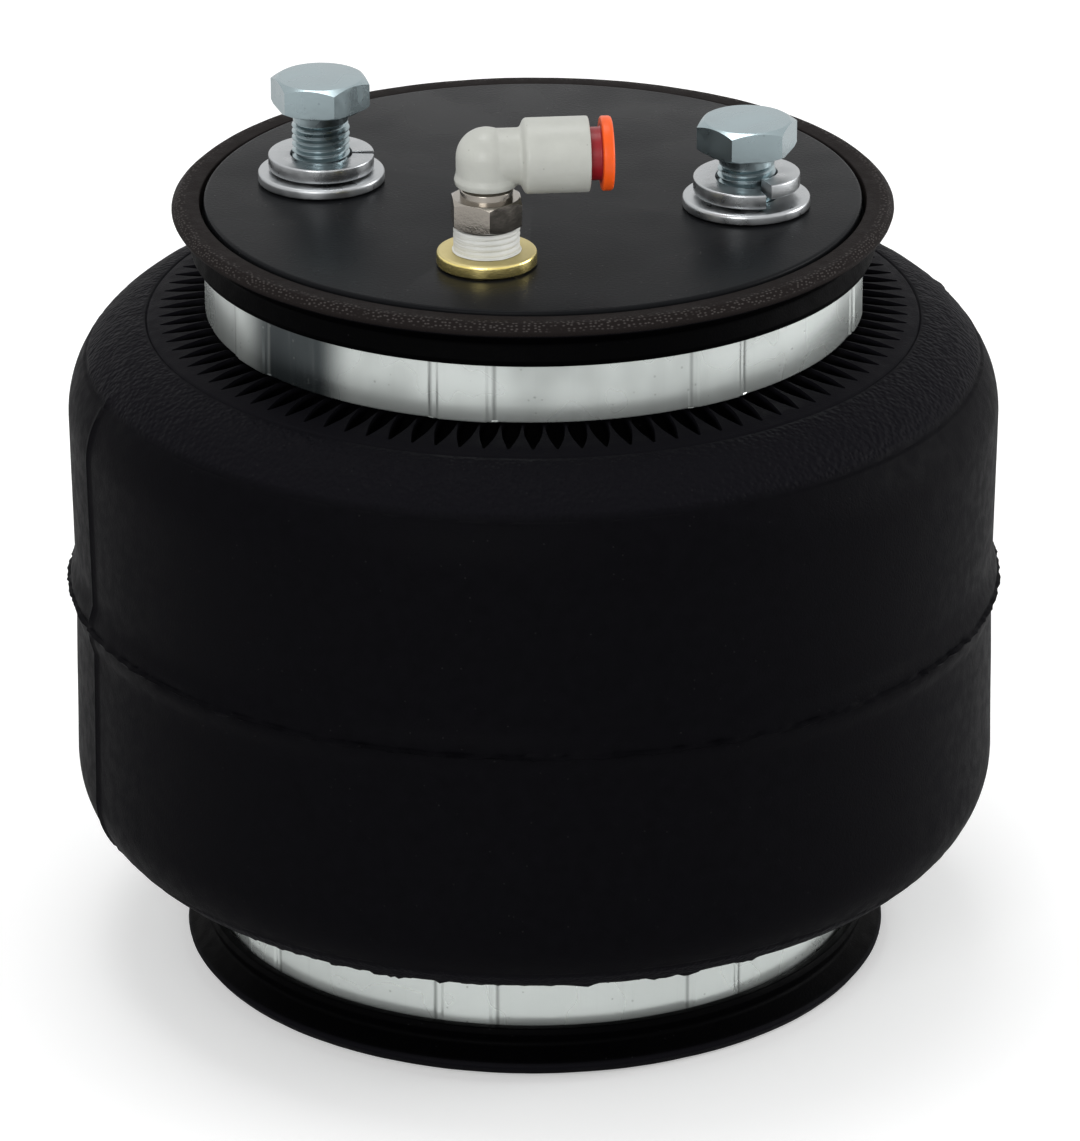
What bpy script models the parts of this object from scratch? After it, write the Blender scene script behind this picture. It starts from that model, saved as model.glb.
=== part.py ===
"""Air suspension spring: a hollow moulded rubber sleeve crimped onto two moulded end caps.

Metres, +Z up. The origin is the middle of the lower cap's outer face, where the spring stands.
+X is the way that the push-in elbow's outlet points as it is stored.
"""

from math import cos, pi, radians, sin, tau

import bmesh
import bpy
from mathutils import Matrix, Vector

# Whole spring
HEIGHT = 0.1310  # between the outer faces of the two caps, standing free
GAP = 0.0003  # left between neighbours that touch on the real part
BOLT_SPACING = 0.06985  # 2.75 in between the two bolts of a cap
BOLT_LINE_ANGLE = radians(-15.2)  # of the line through the bolts, from +X
PORT_OFFSET = 0.0329  # of the air port from the middle
PORT_ANGLE = radians(-107.8)  # of the air port, from +X

# Threaded inserts
INSERT_RADIUS = 0.0078
INSERT_LENGTH = 0.0195
INSERT_BORE_RADIUS = 0.0048
INSERT_GROOVE_DEPTH = 0.0010
INSERT_GROOVE_WIDTH = 0.0040

# End caps
BOSS_WALL = 0.0020  # round each insert and the air port
PLUG_MARGIN = 0.000975  # of plastic outside the bosses
PLUG_RADIUS = BOLT_SPACING / 2 + INSERT_RADIUS + GAP + BOSS_WALL + PLUG_MARGIN
PLUG_FLOOR = 0.0045  # past the inner ends of the inserts
PLUG_DEPTH = INSERT_LENGTH + PLUG_FLOOR  # from the outer face to the end of the plug
FLANGE_OVERHANG = 0.0073  # past the plug, over the neck of the sleeve
FLANGE_RADIUS = PLUG_RADIUS + FLANGE_OVERHANG
FLANGE_THICKNESS = 0.0030
FLANGE_CHAMFER = 0.0005
PLUG_WALL = 0.0050
DECK_THICKNESS = 0.0070
BARB_COUNT = 2
BARB_STEP = 0.0008
BARB_START = 0.0080  # depth of the first barb
BARB_PITCH = 0.0060
STIFFENER_THICKNESS = 0.0022
STIFFENER_SETBACK = 0.0040  # of the stiffening ribs from the end of the plug

# Crimp rings
NECK_WALL = 0.0055  # of the sleeve where a ring grips it on the plug
RING_SETBACK = 0.0062  # from the cap's outer face to the ring's near edge
RING_WIDTH = 0.0124
RING_WALL = 0.0013
RING_RADIUS = PLUG_RADIUS + NECK_WALL + RING_WALL + 2 * GAP  # under the crimping dies
RING_EDGE = 0.0003
CRIMP_COUNT = 8
CRIMP_RIDGE_ANGLE = radians(11.0)
CRIMP_RIDGE_HEIGHT = 0.0004
CRIMP_PHASE = radians(-107.0)  # of a ridge near the camera's side, from +X

# Rubber sleeve
BARREL_RADIUS = 0.0761
BARREL_WAIST = 0.0004  # how far the barrel draws in beside its middle band
SLEEVE_WALL = 0.0045
SHOULDER_CURVE_UPPER = 0.0162  # radius of the barrel's shoulder
SHOULDER_CURVE_LOWER = 0.0148
SHOULDER_RISE = 0.0012  # from the ribs' inner end down to the flat of the shoulder
RIB_COUNT = 100
RIB_START_RADIUS = RING_RADIUS + CRIMP_RIDGE_HEIGHT + GAP
RIB_LENGTH = 0.0069
RIB_OUTER_RADIUS = RIB_START_RADIUS + RIB_LENGTH
RIB_DEPTH = 0.0011
BAND_HEIGHT = 0.0040  # half of the raised band where the mould halves meet
BAND_PROUD = 0.0011
BEAD_WIDTH = 0.0053  # round the cap's flange
BEAD_RADIUS = FLANGE_RADIUS + BEAD_WIDTH
BEAD_LIP_PROUD = 0.0023  # past the ring that it hangs over
BEAD_LIP_RADIUS = RING_RADIUS + BEAD_LIP_PROUD
BEAD_LIP_DEPTH = 0.0076
BEAD_SETBACK_UPPER = 0.0012
BEAD_SETBACK_LOWER = 0.0004

# Bolts, 3/8-24, and their washers
BOLT_SHANK_RADIUS = 0.0045
BOLT_LENGTH = 0.0222
BOLT_FLATS = 0.0143
BOLT_HEAD_HEIGHT = 0.0052
BOLT_CHAMFER = 0.0007
HEAD_CHAMFER_SLOPE = 0.58  # 30 degrees
BOLT_LIFT_LEFT = 0.0126  # of the head's underside above the cap, as photographed
BOLT_LIFT_RIGHT = 0.0095
BOLT_TURN_LEFT = radians(-17.5)  # of a corner of the head, from +X
BOLT_TURN_RIGHT = radians(6.5)
FLAT_WASHER_RADIUS = 0.01032
FLAT_WASHER_BORE = 0.0052
FLAT_WASHER_THICKNESS = 0.00165
LOCK_WASHER_RADIUS = 0.0086
LOCK_WASHER_BORE = 0.0050
LOCK_WASHER_THICKNESS = 0.0024
LOCK_WASHER_SLIT = 0.0012
LOCK_WASHER_SPRING_LEFT = 0.0003  # how far one end stands above the other
LOCK_WASHER_SPRING_RIGHT = 0.0015
LOCK_WASHER_TURN_LEFT = radians(-5.0)
LOCK_WASHER_TURN_RIGHT = radians(-72.0)

# Air port and its fitting; heights are above the cap's face
PORT_HEAD_RADIUS = 0.00795
PORT_HEAD_HEIGHT = 0.0024
PORT_HEAD_CHAMFER = 0.0005
PORT_BODY_RADIUS = 0.0064
PORT_LENGTH = 0.0130  # below the cap's face
THREAD_TOP_RADIUS = 0.0050
THREAD_END_RADIUS = 0.0047
THREAD_END = -0.0055
THREAD_SHOWN = 0.0043  # between the bushing and the hexagon
HEX_BOTTOM = PORT_HEAD_HEIGHT + THREAD_SHOWN
HEX_HEIGHT = 0.0046
HEX_TOP = HEX_BOTTOM + HEX_HEIGHT
HEX_FLATS = 0.0107
HEX_TURN = radians(30.0)  # of a corner, from +X
HEX_CHAMFER = 0.0005
NECK_RADIUS = 0.0042
NECK_SHOWN = 0.0020  # between the hexagon and the elbow
ELBOW_BOTTOM = HEX_TOP + NECK_SHOWN
STUD_BORE_RADIUS = 0.0016
SPIGOT_RADIUS = 0.0033
SPIGOT_COLLAR_RADIUS = SPIGOT_RADIUS + 0.0004
O_RING_SECTION = 0.00045  # radius of the O-ring's round section
O_RING_LAND = 0.0005  # of spigot above and below the O-ring's groove
STEM_BORE_RADIUS = SPIGOT_COLLAR_RADIUS + GAP
STEM_WALL = 0.0008
STEM_RADIUS = STEM_BORE_RADIUS + STEM_WALL
STEM_LIP_PROUD = 0.0002
STEM_LIP_RADIUS = STEM_RADIUS + STEM_LIP_PROUD
STEM_LIP_HEIGHT = 0.0014
SPIGOT_TOP = ELBOW_BOTTOM + STEM_LIP_HEIGHT + 2 * (O_RING_SECTION + GAP + O_RING_LAND)
PASSAGE_FLOOR = 0.0006  # from the end of the spigot up to the axis of the arm
ARM_HEIGHT = SPIGOT_TOP + PASSAGE_FLOOR
ARM_NECK_RADIUS = 0.0045
ARM_PASSAGE_RADIUS = 0.0022
ARM_BARREL_START = 0.0057
ARM_BARREL_END = 0.0161
TUBE_BORE_RADIUS = 0.0033  # for 1/4 in tube
TUBE_STOP = 0.0064
SEAL_LENGTH = 0.0019
SEAL_RADIUS = TUBE_BORE_RADIUS + 0.0013
COLLET_LENGTH = 0.0018
COLLET_TIP_RADIUS = TUBE_BORE_RADIUS - 0.0001
COLLET_SLITS = 4
COLLET_SLIT_WIDTH = 0.0009
GUIDE_WALL = 0.0005
COLLAR_WALL = 0.0009
COLLAR_NECK_RADIUS = TUBE_BORE_RADIUS + COLLAR_WALL
SEAT_RADIUS = COLLAR_NECK_RADIUS + 2 * GAP + GUIDE_WALL
BARREL_WALL = 0.0007
ARM_BARREL_RADIUS = SEAT_RADIUS + BARREL_WALL
COLLAR_FLANGE_RADIUS = ARM_BARREL_RADIUS - 0.0001
COLLAR_FLANGE_THICKNESS = 0.0018
COLLAR_STAND = 0.0019  # free space that the collar is pushed in through
COLLAR_TRAVEL = 0.0015

# Facets
CAP_SIDES = 36
ROUND_SIDES = 20
SMALL_SIDES = 16
CRIMP_DIE_STEPS = 5
SHOULDER_STEPS = 5
INSIDE_STEPS = 2


def material(name, colour, roughness, metallic=0.0):
    made = bpy.data.materials.new(name)
    made.use_nodes = True
    shader = made.node_tree.nodes["Principled BSDF"]
    shader.inputs["Base Color"].default_value = (*colour, 1.0)
    shader.inputs["Roughness"].default_value = roughness
    shader.inputs["Metallic"].default_value = metallic
    return made


def piece(name, bm, finish, parent=None, place=(0, 0, 0), turn=0.0, flip=False):
    """An object of the mesh, smooth but for its sharp edges, placed under its parent."""
    bmesh.ops.recalc_face_normals(bm, faces=bm.faces)
    mesh = bpy.data.meshes.new(name)
    bm.to_mesh(mesh)
    bm.free()
    mesh.shade_smooth()
    mesh.set_sharp_from_angle(angle=radians(35))
    mesh.materials.append(finish)
    made = bpy.data.objects.new(name, mesh)
    bpy.context.collection.objects.link(made)
    made.parent = parent
    made.location = place
    made.rotation_euler = (pi if flip else 0.0, 0.0, turn)
    return made


def shape(bm, target, operation):
    """Adds the mesh to the target, cuts it out, or keeps what both share."""
    cutter = piece(f"{target.name}_{operation.lower()}", bm, target.data.materials[0])
    cutter.parent = target
    cutter.hide_render = True
    cutter.display_type = "WIRE"
    modifier = target.modifiers.new(operation.title(), "BOOLEAN")
    modifier.operation = operation
    modifier.object = cutter
    modifier.solver = "EXACT"


def carrier(name, place, parent=None):
    """An empty on a joint's axis, which carries the pieces that move together."""
    made = bpy.data.objects.new(name, None)
    bpy.context.collection.objects.link(made)
    made.parent = parent
    made.location = place
    return made


def turned(outline, sides=SMALL_SIDES, along_x=False, place=(0, 0, 0)):
    """A closed outline of (radius, height) spun round its axis."""
    bm = bmesh.new()
    corners = [bm.verts.new((radius, 0, height)) for radius, height in outline]
    for start, end in zip(corners, corners[1:] + corners[:1]):
        if start.co.x > 0 or end.co.x > 0:
            bm.edges.new((start, end))
    bmesh.ops.spin(
        bm,
        geom=bm.verts[:] + bm.edges[:],
        cent=(0, 0, 0),
        axis=(0, 0, 1),
        angle=tau,
        steps=sides,
        use_merge=True,
    )
    bmesh.ops.remove_doubles(bm, verts=bm.verts, dist=1e-7)
    if along_x:
        bmesh.ops.rotate(bm, verts=bm.verts, cent=(0, 0, 0), matrix=Matrix.Rotation(pi / 2, 3, "Y"))
    bmesh.ops.translate(bm, verts=bm.verts, vec=place)
    return bm


def ring_outline(inner, outer, low, high, edge=0.0):
    """Section of a plain ring, with its outer edges broken."""
    if not edge:
        return [(inner, low), (outer, low), (outer, high), (inner, high)]
    return [
        (inner, low),
        (outer - edge, low),
        (outer, low + edge),
        (outer, high - edge),
        (outer - edge, high),
        (inner, high),
    ]


def block(size, place, turn=0.0):
    bm = bmesh.new()
    bmesh.ops.create_cube(bm, size=1.0)
    bmesh.ops.scale(bm, vec=size, verts=bm.verts)
    bmesh.ops.translate(bm, vec=place, verts=bm.verts)
    bmesh.ops.rotate(bm, cent=(0, 0, 0), matrix=Matrix.Rotation(turn, 3, "Z"), verts=bm.verts)
    return bm


def hexagon(flats, low, high, turn=0.0):
    """A hexagonal bar between two heights, with a corner at the angle turn."""
    bm = bmesh.new()
    radius = flats / 2 / cos(pi / 6)
    bmesh.ops.create_cone(bm, cap_ends=True, segments=6, radius1=radius, radius2=radius, depth=high - low)
    bmesh.ops.translate(bm, vec=(0, 0, (low + high) / 2), verts=bm.verts)
    from_y_axis = Matrix.Rotation(turn - pi / 2, 3, "Z")
    bmesh.ops.rotate(bm, cent=(0, 0, 0), matrix=from_y_axis, verts=bm.verts)
    return bm


def circle_of(bm, points):
    return [bm.verts.new(point) for point in points]


def join_circles(bm, first, second):
    """Faces between two circles of vertices, of which one may be a whole number of times finer."""
    coarse, fine = sorted((first, second), key=len)
    ratio = len(fine) // len(coarse)
    for i, here in enumerate(coarse):
        after = coarse[(i + 1) % len(coarse)]
        chain = [fine[(i * ratio + j) % len(fine)] for j in range(ratio + 1)]
        if ratio == 1:
            bm.faces.new((here, after, chain[1], chain[0]))
            continue
        middle = ratio // 2
        for j in range(ratio):
            bm.faces.new((here if j < middle else after, chain[j], chain[j + 1]))
        bm.faces.new((here, chain[middle], after))


def bolt_place(side, height):
    """Where a bolt stands on the cap that its line belongs to: side is -1 for left and 1 for right."""
    reach = side * BOLT_SPACING / 2
    return Vector((reach * cos(BOLT_LINE_ANGLE), reach * sin(BOLT_LINE_ANGLE), height))


def port_place(height):
    return Vector((PORT_OFFSET * cos(PORT_ANGLE), PORT_OFFSET * sin(PORT_ANGLE), height))


def insert_outline(grown=0.0):
    """Outside of a threaded insert below the cap's face, with the groove that the cap's plastic fills."""
    outer = INSERT_RADIUS + grown
    middle = -INSERT_LENGTH / 2
    half = INSERT_GROOVE_WIDTH / 2 - grown
    groove = outer - INSERT_GROOVE_DEPTH
    return [
        (outer, -INSERT_LENGTH - grown),
        (outer, middle - half),
        (groove, middle - half),
        (groove, middle + half),
        (outer, middle + half),
    ]


def make_insert(name, finish, parent, place, flip=False):
    """A steel insert with a plain bore where the 3/8-24 thread is."""
    outline = [(INSERT_BORE_RADIUS, -INSERT_LENGTH)] + insert_outline()
    outline += [(INSERT_RADIUS, 0), (INSERT_BORE_RADIUS, 0)]
    return piece(name, turned(outline), finish, parent, place, flip=flip)


def cap_outline():
    """Half of a cap's section, from the middle of its outer face round to the middle of its deck."""
    outline = [
        (0, 0),
        (FLANGE_RADIUS - FLANGE_CHAMFER, 0),
        (FLANGE_RADIUS, -FLANGE_CHAMFER),
        (FLANGE_RADIUS, -FLANGE_THICKNESS),
        (PLUG_RADIUS, -FLANGE_THICKNESS),
    ]
    for i in range(BARB_COUNT):
        depth = BARB_START + i * BARB_PITCH
        outline += [(PLUG_RADIUS, -depth), (PLUG_RADIUS - BARB_STEP, -depth - BARB_STEP / 4)]
    return outline + [
        (PLUG_RADIUS, -PLUG_DEPTH + BARB_STEP * 2),
        (PLUG_RADIUS - BARB_STEP, -PLUG_DEPTH),
        (PLUG_RADIUS - PLUG_WALL, -PLUG_DEPTH),
        (PLUG_RADIUS - PLUG_WALL, -DECK_THICKNESS),
        (0, -DECK_THICKNESS),
    ]


def make_cap(name, finish, parent, place, with_port, flip=False):
    """A glass-filled nylon cap: flange, barbed plug, cored underside with bosses and stiffening ribs."""
    turn = 2 * BOLT_LINE_ANGLE if flip else 0.0
    cap = piece(name, turned(cap_outline(), CAP_SIDES), finish, parent, place, turn, flip)
    root = -DECK_THICKNESS / 2
    boss = INSERT_RADIUS + GAP + BOSS_WALL
    end = -PLUG_DEPTH + STIFFENER_SETBACK
    depth = root - end
    for i in range(3):
        length = 2 * (PLUG_RADIUS - PLUG_WALL / 2)
        angle = BOLT_LINE_ANGLE + i * pi / 3
        shape(block((length, STIFFENER_THICKNESS, depth), (0, 0, end + depth / 2), angle), cap, "UNION")
    for side in (-1, 1):
        where = bolt_place(side, 0)
        foot = -PLUG_DEPTH + BARB_STEP
        bar = [(0, foot), (boss, foot), (boss, root), (0, root)]
        shape(turned(bar, place=where), cap, "UNION")
    if with_port:
        reach = PORT_BODY_RADIUS + GAP + BOSS_WALL
        bar = [(0, -PORT_LENGTH), (reach, -PORT_LENGTH), (reach, root), (0, root)]
        shape(turned(bar, place=port_place(0)), cap, "UNION")
    for side in (-1, 1):
        where = bolt_place(side, 0)
        hole = [(0, -INSERT_LENGTH - GAP)] + insert_outline(GAP)
        hole += [(INSERT_RADIUS + GAP, BOSS_WALL), (0, BOSS_WALL)]
        shape(turned(hole, place=where), cap, "DIFFERENCE")
    if with_port:
        reach = PORT_BODY_RADIUS + GAP
        low = -PORT_LENGTH - BOSS_WALL
        hole = [(0, low), (reach, low), (reach, BOSS_WALL), (0, BOSS_WALL)]
        shape(turned(hole, place=port_place(0)), cap, "DIFFERENCE")
    return cap


def crimp_angles():
    """(angle, whether it is on a ridge) round the ring: each ridge, then the width of a die."""
    pitch = tau / CRIMP_COUNT
    half = CRIMP_RIDGE_ANGLE / 2
    slope = half / 5
    angles = []
    for i in range(CRIMP_COUNT):
        middle = CRIMP_PHASE + i * pitch
        angles += [(middle - half, False), (middle - half + slope, True)]
        angles += [(middle + half - slope, True), (middle + half, False)]
        width = pitch - 2 * half
        for j in range(1, CRIMP_DIE_STEPS):
            angles.append((middle + half + width * j / CRIMP_DIE_STEPS, False))
    return angles


def make_crimp_ring(name, finish, parent, place, flip=False):
    """A steel band closed by eight dies, which leave a proud ridge between each pair."""
    bm = bmesh.new()
    top = -RING_SETBACK
    bottom = top - RING_WIDTH
    inner = RING_RADIUS - RING_WALL
    stations = ((RING_EDGE, top), (0, top - RING_EDGE), (0, bottom + RING_EDGE), (RING_EDGE, bottom))
    circles = []
    for inset, height in stations:
        points = []
        for angle, ridge in crimp_angles():
            radius = RING_RADIUS + ridge * CRIMP_RIDGE_HEIGHT - inset
            points.append((radius * cos(angle), radius * sin(angle), height))
        circles.append(circle_of(bm, points))
    for height in (bottom, top):
        points = [(inner * cos(angle), inner * sin(angle), height) for angle, _ in crimp_angles()]
        circles.append(circle_of(bm, points))
    for here, after in zip(circles, circles[1:] + circles[:1]):
        join_circles(bm, here, after)
    turn = 2 * CRIMP_PHASE if flip else 0.0
    return piece(name, bm, finish, parent, place, turn=turn, flip=flip)


def neck_radii():
    """Inside and outside of the sleeve's neck, between the plug and the crimp ring."""
    return PLUG_RADIUS + GAP, RING_RADIUS - RING_WALL - GAP


def shoulder_depth():
    """Depth of the shoulder just outside the ring's inner edge, below the cap's face."""
    return RING_SETBACK + RING_WIDTH + GAP


def bead_outline(setback):
    """(radius, depth) round the bead, from the flange's underside out and back to the neck."""
    inner, outer = neck_radii()
    edge = FLANGE_RADIUS + GAP
    under = FLANGE_THICKNESS + GAP
    over_ring = RING_SETBACK - GAP
    inside_lip = RIB_START_RADIUS
    return [
        (inner, under),
        (edge, under),
        (edge + 0.0004, setback),
        (BEAD_RADIUS - 0.0009, setback),
        (BEAD_RADIUS, setback + 0.0014),
        (BEAD_LIP_RADIUS - 0.0004, over_ring - 0.0008),
        (BEAD_LIP_RADIUS, BEAD_LIP_DEPTH - 0.0010),
        (inside_lip, BEAD_LIP_DEPTH),
        (inside_lip, over_ring),
        (outer, over_ring),
        (outer, shoulder_depth()),
    ]


def shoulder_arc(curve, inset, steps):
    """(radius, depth) over the barrel's shoulder, from its flat to its side, a wall's inset inside it."""
    centre_radius = BARREL_RADIUS - curve
    centre_depth = shoulder_depth() + SHOULDER_RISE + curve
    points = []
    for i in range(steps + 1):
        angle = pi / 2 * (1 - i / steps)
        reach = curve - inset
        points.append((centre_radius + reach * cos(angle), centre_depth - reach * sin(angle)))
    return points


def sleeve_sections():
    """The closed section of the sleeve as (radius, height, columns, rib) from the upper bead down its
    outer side, round the lower bead, and up its inner side; rib is True where grooves are cut."""
    coarse = RIB_COUNT // 2 if RIB_COUNT % 2 == 0 else RIB_COUNT
    inner, _ = neck_radii()
    middle = HEIGHT / 2
    wall = SLEEVE_WALL

    def outer_side(setback, curve):
        side = [(radius, depth, coarse, False) for radius, depth in bead_outline(setback)]
        start = shoulder_depth()
        side.append((RIB_START_RADIUS, start, 2 * RIB_COUNT, True))
        side.append((RIB_OUTER_RADIUS, start + SHOULDER_RISE * 0.8, RIB_COUNT, False))
        for radius, depth in shoulder_arc(curve, 0, SHOULDER_STEPS):
            if radius > RIB_OUTER_RADIUS:
                side.append((radius, depth, coarse, False))
        waist = BARREL_RADIUS - BARREL_WAIST
        side.append((waist, middle - BAND_HEIGHT, coarse, False))
        side.append((BARREL_RADIUS + BAND_PROUD, middle - BAND_HEIGHT / 2, coarse, False))
        return side

    def inner_side(curve):
        side = [
            (inner, PLUG_DEPTH, coarse, False),
            (inner + wall, PLUG_DEPTH + wall / 2, coarse, False),
        ]
        for radius, depth in shoulder_arc(curve, wall, INSIDE_STEPS):
            side.append((radius, depth, coarse, False))
        return side

    def from_top(side):
        return [(radius, HEIGHT - depth, count, rib) for radius, depth, count, rib in side]

    sections = from_top(outer_side(BEAD_SETBACK_UPPER, SHOULDER_CURVE_UPPER))
    sections += reversed(outer_side(BEAD_SETBACK_LOWER, SHOULDER_CURVE_LOWER))
    sections += inner_side(SHOULDER_CURVE_LOWER)
    sections += reversed(from_top(inner_side(SHOULDER_CURVE_UPPER)))
    return sections


def make_sleeve(name, finish, parent):
    """The hollow rubber sleeve, open at both ends, with V grooves between the ribs of its shoulders."""
    bm = bmesh.new()
    circles = []
    for radius, height, count, rib in sleeve_sections():
        sink = RIB_DEPTH if height > HEIGHT / 2 else -RIB_DEPTH
        points = []
        for i in range(count):
            angle = tau * i / count
            drop = sink if rib and i % 2 else 0.0
            points.append((radius * cos(angle), radius * sin(angle), height - drop))
        circles.append(circle_of(bm, points))
    for here, after in zip(circles, circles[1:] + circles[:1]):
        join_circles(bm, here, after)
    return piece(name, bm, finish, parent)


def make_bolt(name, finish, parent, turn):
    """A hex bolt with its origin under its head. Its thread is left to a plain shank."""
    bolt = piece(name, hexagon(BOLT_FLATS, 0, BOLT_HEAD_HEIGHT), finish, parent, turn=turn)
    circle = (BOLT_FLATS - BOLT_CHAMFER) / 2
    wide = BOLT_FLATS
    above = BOLT_HEAD_HEIGHT + circle / 2 * HEAD_CHAMFER_SLOPE
    crown = [
        (0, -BOLT_CHAMFER),
        (wide, -BOLT_CHAMFER),
        (wide, BOLT_HEAD_HEIGHT - (wide - circle) * HEAD_CHAMFER_SLOPE),
        (circle / 2, above),
        (0, above),
    ]
    shape(turned(crown, ROUND_SIDES), bolt, "INTERSECT")
    tip = BOLT_SHANK_RADIUS - BOLT_CHAMFER
    shank = [
        (0, -BOLT_LENGTH),
        (tip, -BOLT_LENGTH),
        (BOLT_SHANK_RADIUS, -BOLT_LENGTH + BOLT_CHAMFER),
        (BOLT_SHANK_RADIUS, BOLT_HEAD_HEIGHT / 2),
        (0, BOLT_HEAD_HEIGHT / 2),
    ]
    shape(turned(shank), bolt, "UNION")
    return bolt


def make_flat_washer(name, finish, parent, place):
    outline = ring_outline(FLAT_WASHER_BORE, FLAT_WASHER_RADIUS, 0, FLAT_WASHER_THICKNESS, RING_EDGE)
    return piece(name, turned(outline, ROUND_SIDES), finish, parent, place)


def make_lock_washer(name, finish, parent, place, spring, turn):
    """A split ring whose end before the slit lies flat, and whose other end is sprung up."""
    bm = bmesh.new()
    steps = ROUND_SIDES
    half_slit = LOCK_WASHER_SLIT / 2 / LOCK_WASHER_RADIUS
    sections = []
    for i in range(steps + 1):
        angle = -half_slit - (tau - 2 * half_slit) * i / steps
        low = spring * i / steps
        corners = (
            (LOCK_WASHER_BORE, low),
            (LOCK_WASHER_RADIUS, low),
            (LOCK_WASHER_RADIUS, low + LOCK_WASHER_THICKNESS),
            (LOCK_WASHER_BORE, low + LOCK_WASHER_THICKNESS),
        )
        points = [(radius * cos(angle), radius * sin(angle), height) for radius, height in corners]
        sections.append(circle_of(bm, points))
    for here, after in zip(sections, sections[1:]):
        join_circles(bm, here, after)
    bm.faces.new(sections[0])
    bm.faces.new(sections[-1])
    return piece(name, bm, finish, parent, place, turn=turn)


def make_port_bushing(name, finish, parent, place):
    """The brass bushing of the air port, with the bore that takes the fitting's taper thread."""
    bore_top = THREAD_TOP_RADIUS + GAP
    bore_end = THREAD_END_RADIUS + GAP
    outline = [
        (STUD_BORE_RADIUS + 0.0010, -PORT_LENGTH),
        (PORT_BODY_RADIUS, -PORT_LENGTH),
        (PORT_BODY_RADIUS, GAP),
        (PORT_HEAD_RADIUS, GAP),
        (PORT_HEAD_RADIUS, PORT_HEAD_HEIGHT - PORT_HEAD_CHAMFER),
        (PORT_HEAD_RADIUS - PORT_HEAD_CHAMFER, PORT_HEAD_HEIGHT),
        (bore_top, PORT_HEAD_HEIGHT),
        (bore_end, THREAD_END - 2 * GAP),
        (STUD_BORE_RADIUS + 0.0010, THREAD_END - 2 * GAP),
    ]
    return piece(name, turned(outline, ROUND_SIDES), finish, parent, place)


def make_fitting_stud(name, finish, parent, place):
    """Taper thread, hexagon and grooved spigot in one nickel-plated piece, bored right through."""
    groove_middle = (ELBOW_BOTTOM + STEM_LIP_HEIGHT + SPIGOT_TOP) / 2
    groove_half = O_RING_SECTION + GAP
    groove_radius = STEM_BORE_RADIUS - 2 * GAP - 2 * O_RING_SECTION
    outline = [
        (STUD_BORE_RADIUS, THREAD_END),
        (THREAD_END_RADIUS - HEX_CHAMFER, THREAD_END),
        (THREAD_END_RADIUS, THREAD_END + HEX_CHAMFER),
        (THREAD_TOP_RADIUS, PORT_HEAD_HEIGHT),
        (THREAD_TOP_RADIUS, HEX_BOTTOM - HEX_CHAMFER),
        (NECK_RADIUS, HEX_BOTTOM),
        (NECK_RADIUS, ELBOW_BOTTOM - GAP),
        (SPIGOT_RADIUS, ELBOW_BOTTOM - GAP),
        (SPIGOT_RADIUS, ELBOW_BOTTOM + STEM_LIP_HEIGHT / 2 + GAP),
        (SPIGOT_COLLAR_RADIUS, ELBOW_BOTTOM + STEM_LIP_HEIGHT / 2 + 2 * GAP),
        (SPIGOT_COLLAR_RADIUS, groove_middle - groove_half),
        (groove_radius, groove_middle - groove_half),
        (groove_radius, groove_middle + groove_half),
        (SPIGOT_COLLAR_RADIUS, groove_middle + groove_half),
        (SPIGOT_COLLAR_RADIUS, SPIGOT_TOP - GAP),
        (SPIGOT_RADIUS, SPIGOT_TOP),
        (STUD_BORE_RADIUS, SPIGOT_TOP),
    ]
    stud = piece(name, turned(outline), finish, parent, place)
    flat = HEX_FLATS / 2
    corner = flat / cos(pi / 6)
    collar = hexagon(HEX_FLATS, HEX_BOTTOM, HEX_TOP, HEX_TURN)
    hex_piece = piece(f"{name}_hexagon", collar, finish, stud)
    hex_piece.hide_render = True
    hex_piece.display_type = "WIRE"
    barrel = ring_outline(0, corner + HEX_CHAMFER / 4, HEX_BOTTOM, HEX_TOP, HEX_CHAMFER)
    shape(turned(barrel), hex_piece, "INTERSECT")
    hole = [(0, HEX_BOTTOM - flat), (NECK_RADIUS - GAP, HEX_BOTTOM - flat)]
    hole += [(NECK_RADIUS - GAP, HEX_TOP + flat), (0, HEX_TOP + flat)]
    shape(turned(hole), hex_piece, "DIFFERENCE")
    joined = stud.modifiers.new("Hexagon", "BOOLEAN")
    joined.operation = "UNION"
    joined.object = hex_piece
    joined.solver = "EXACT"
    return stud


def make_o_ring(name, finish, parent, place):
    """The O-ring that seals the swivelling elbow on the stud's spigot."""
    middle = (ELBOW_BOTTOM + STEM_LIP_HEIGHT + SPIGOT_TOP) / 2
    radius = STEM_BORE_RADIUS - GAP - O_RING_SECTION
    outline = []
    corners = 6
    for i in range(corners):
        angle = tau * i / corners
        outline.append((radius + O_RING_SECTION * cos(angle), middle + O_RING_SECTION * sin(angle)))
    return piece(name, turned(outline), finish, parent, place)


def seal_start():
    return TUBE_STOP + 3 * GAP


def collet_start():
    return seal_start() + SEAL_LENGTH + GAP


def collet_end():
    return collet_start() + COLLET_LENGTH


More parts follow.
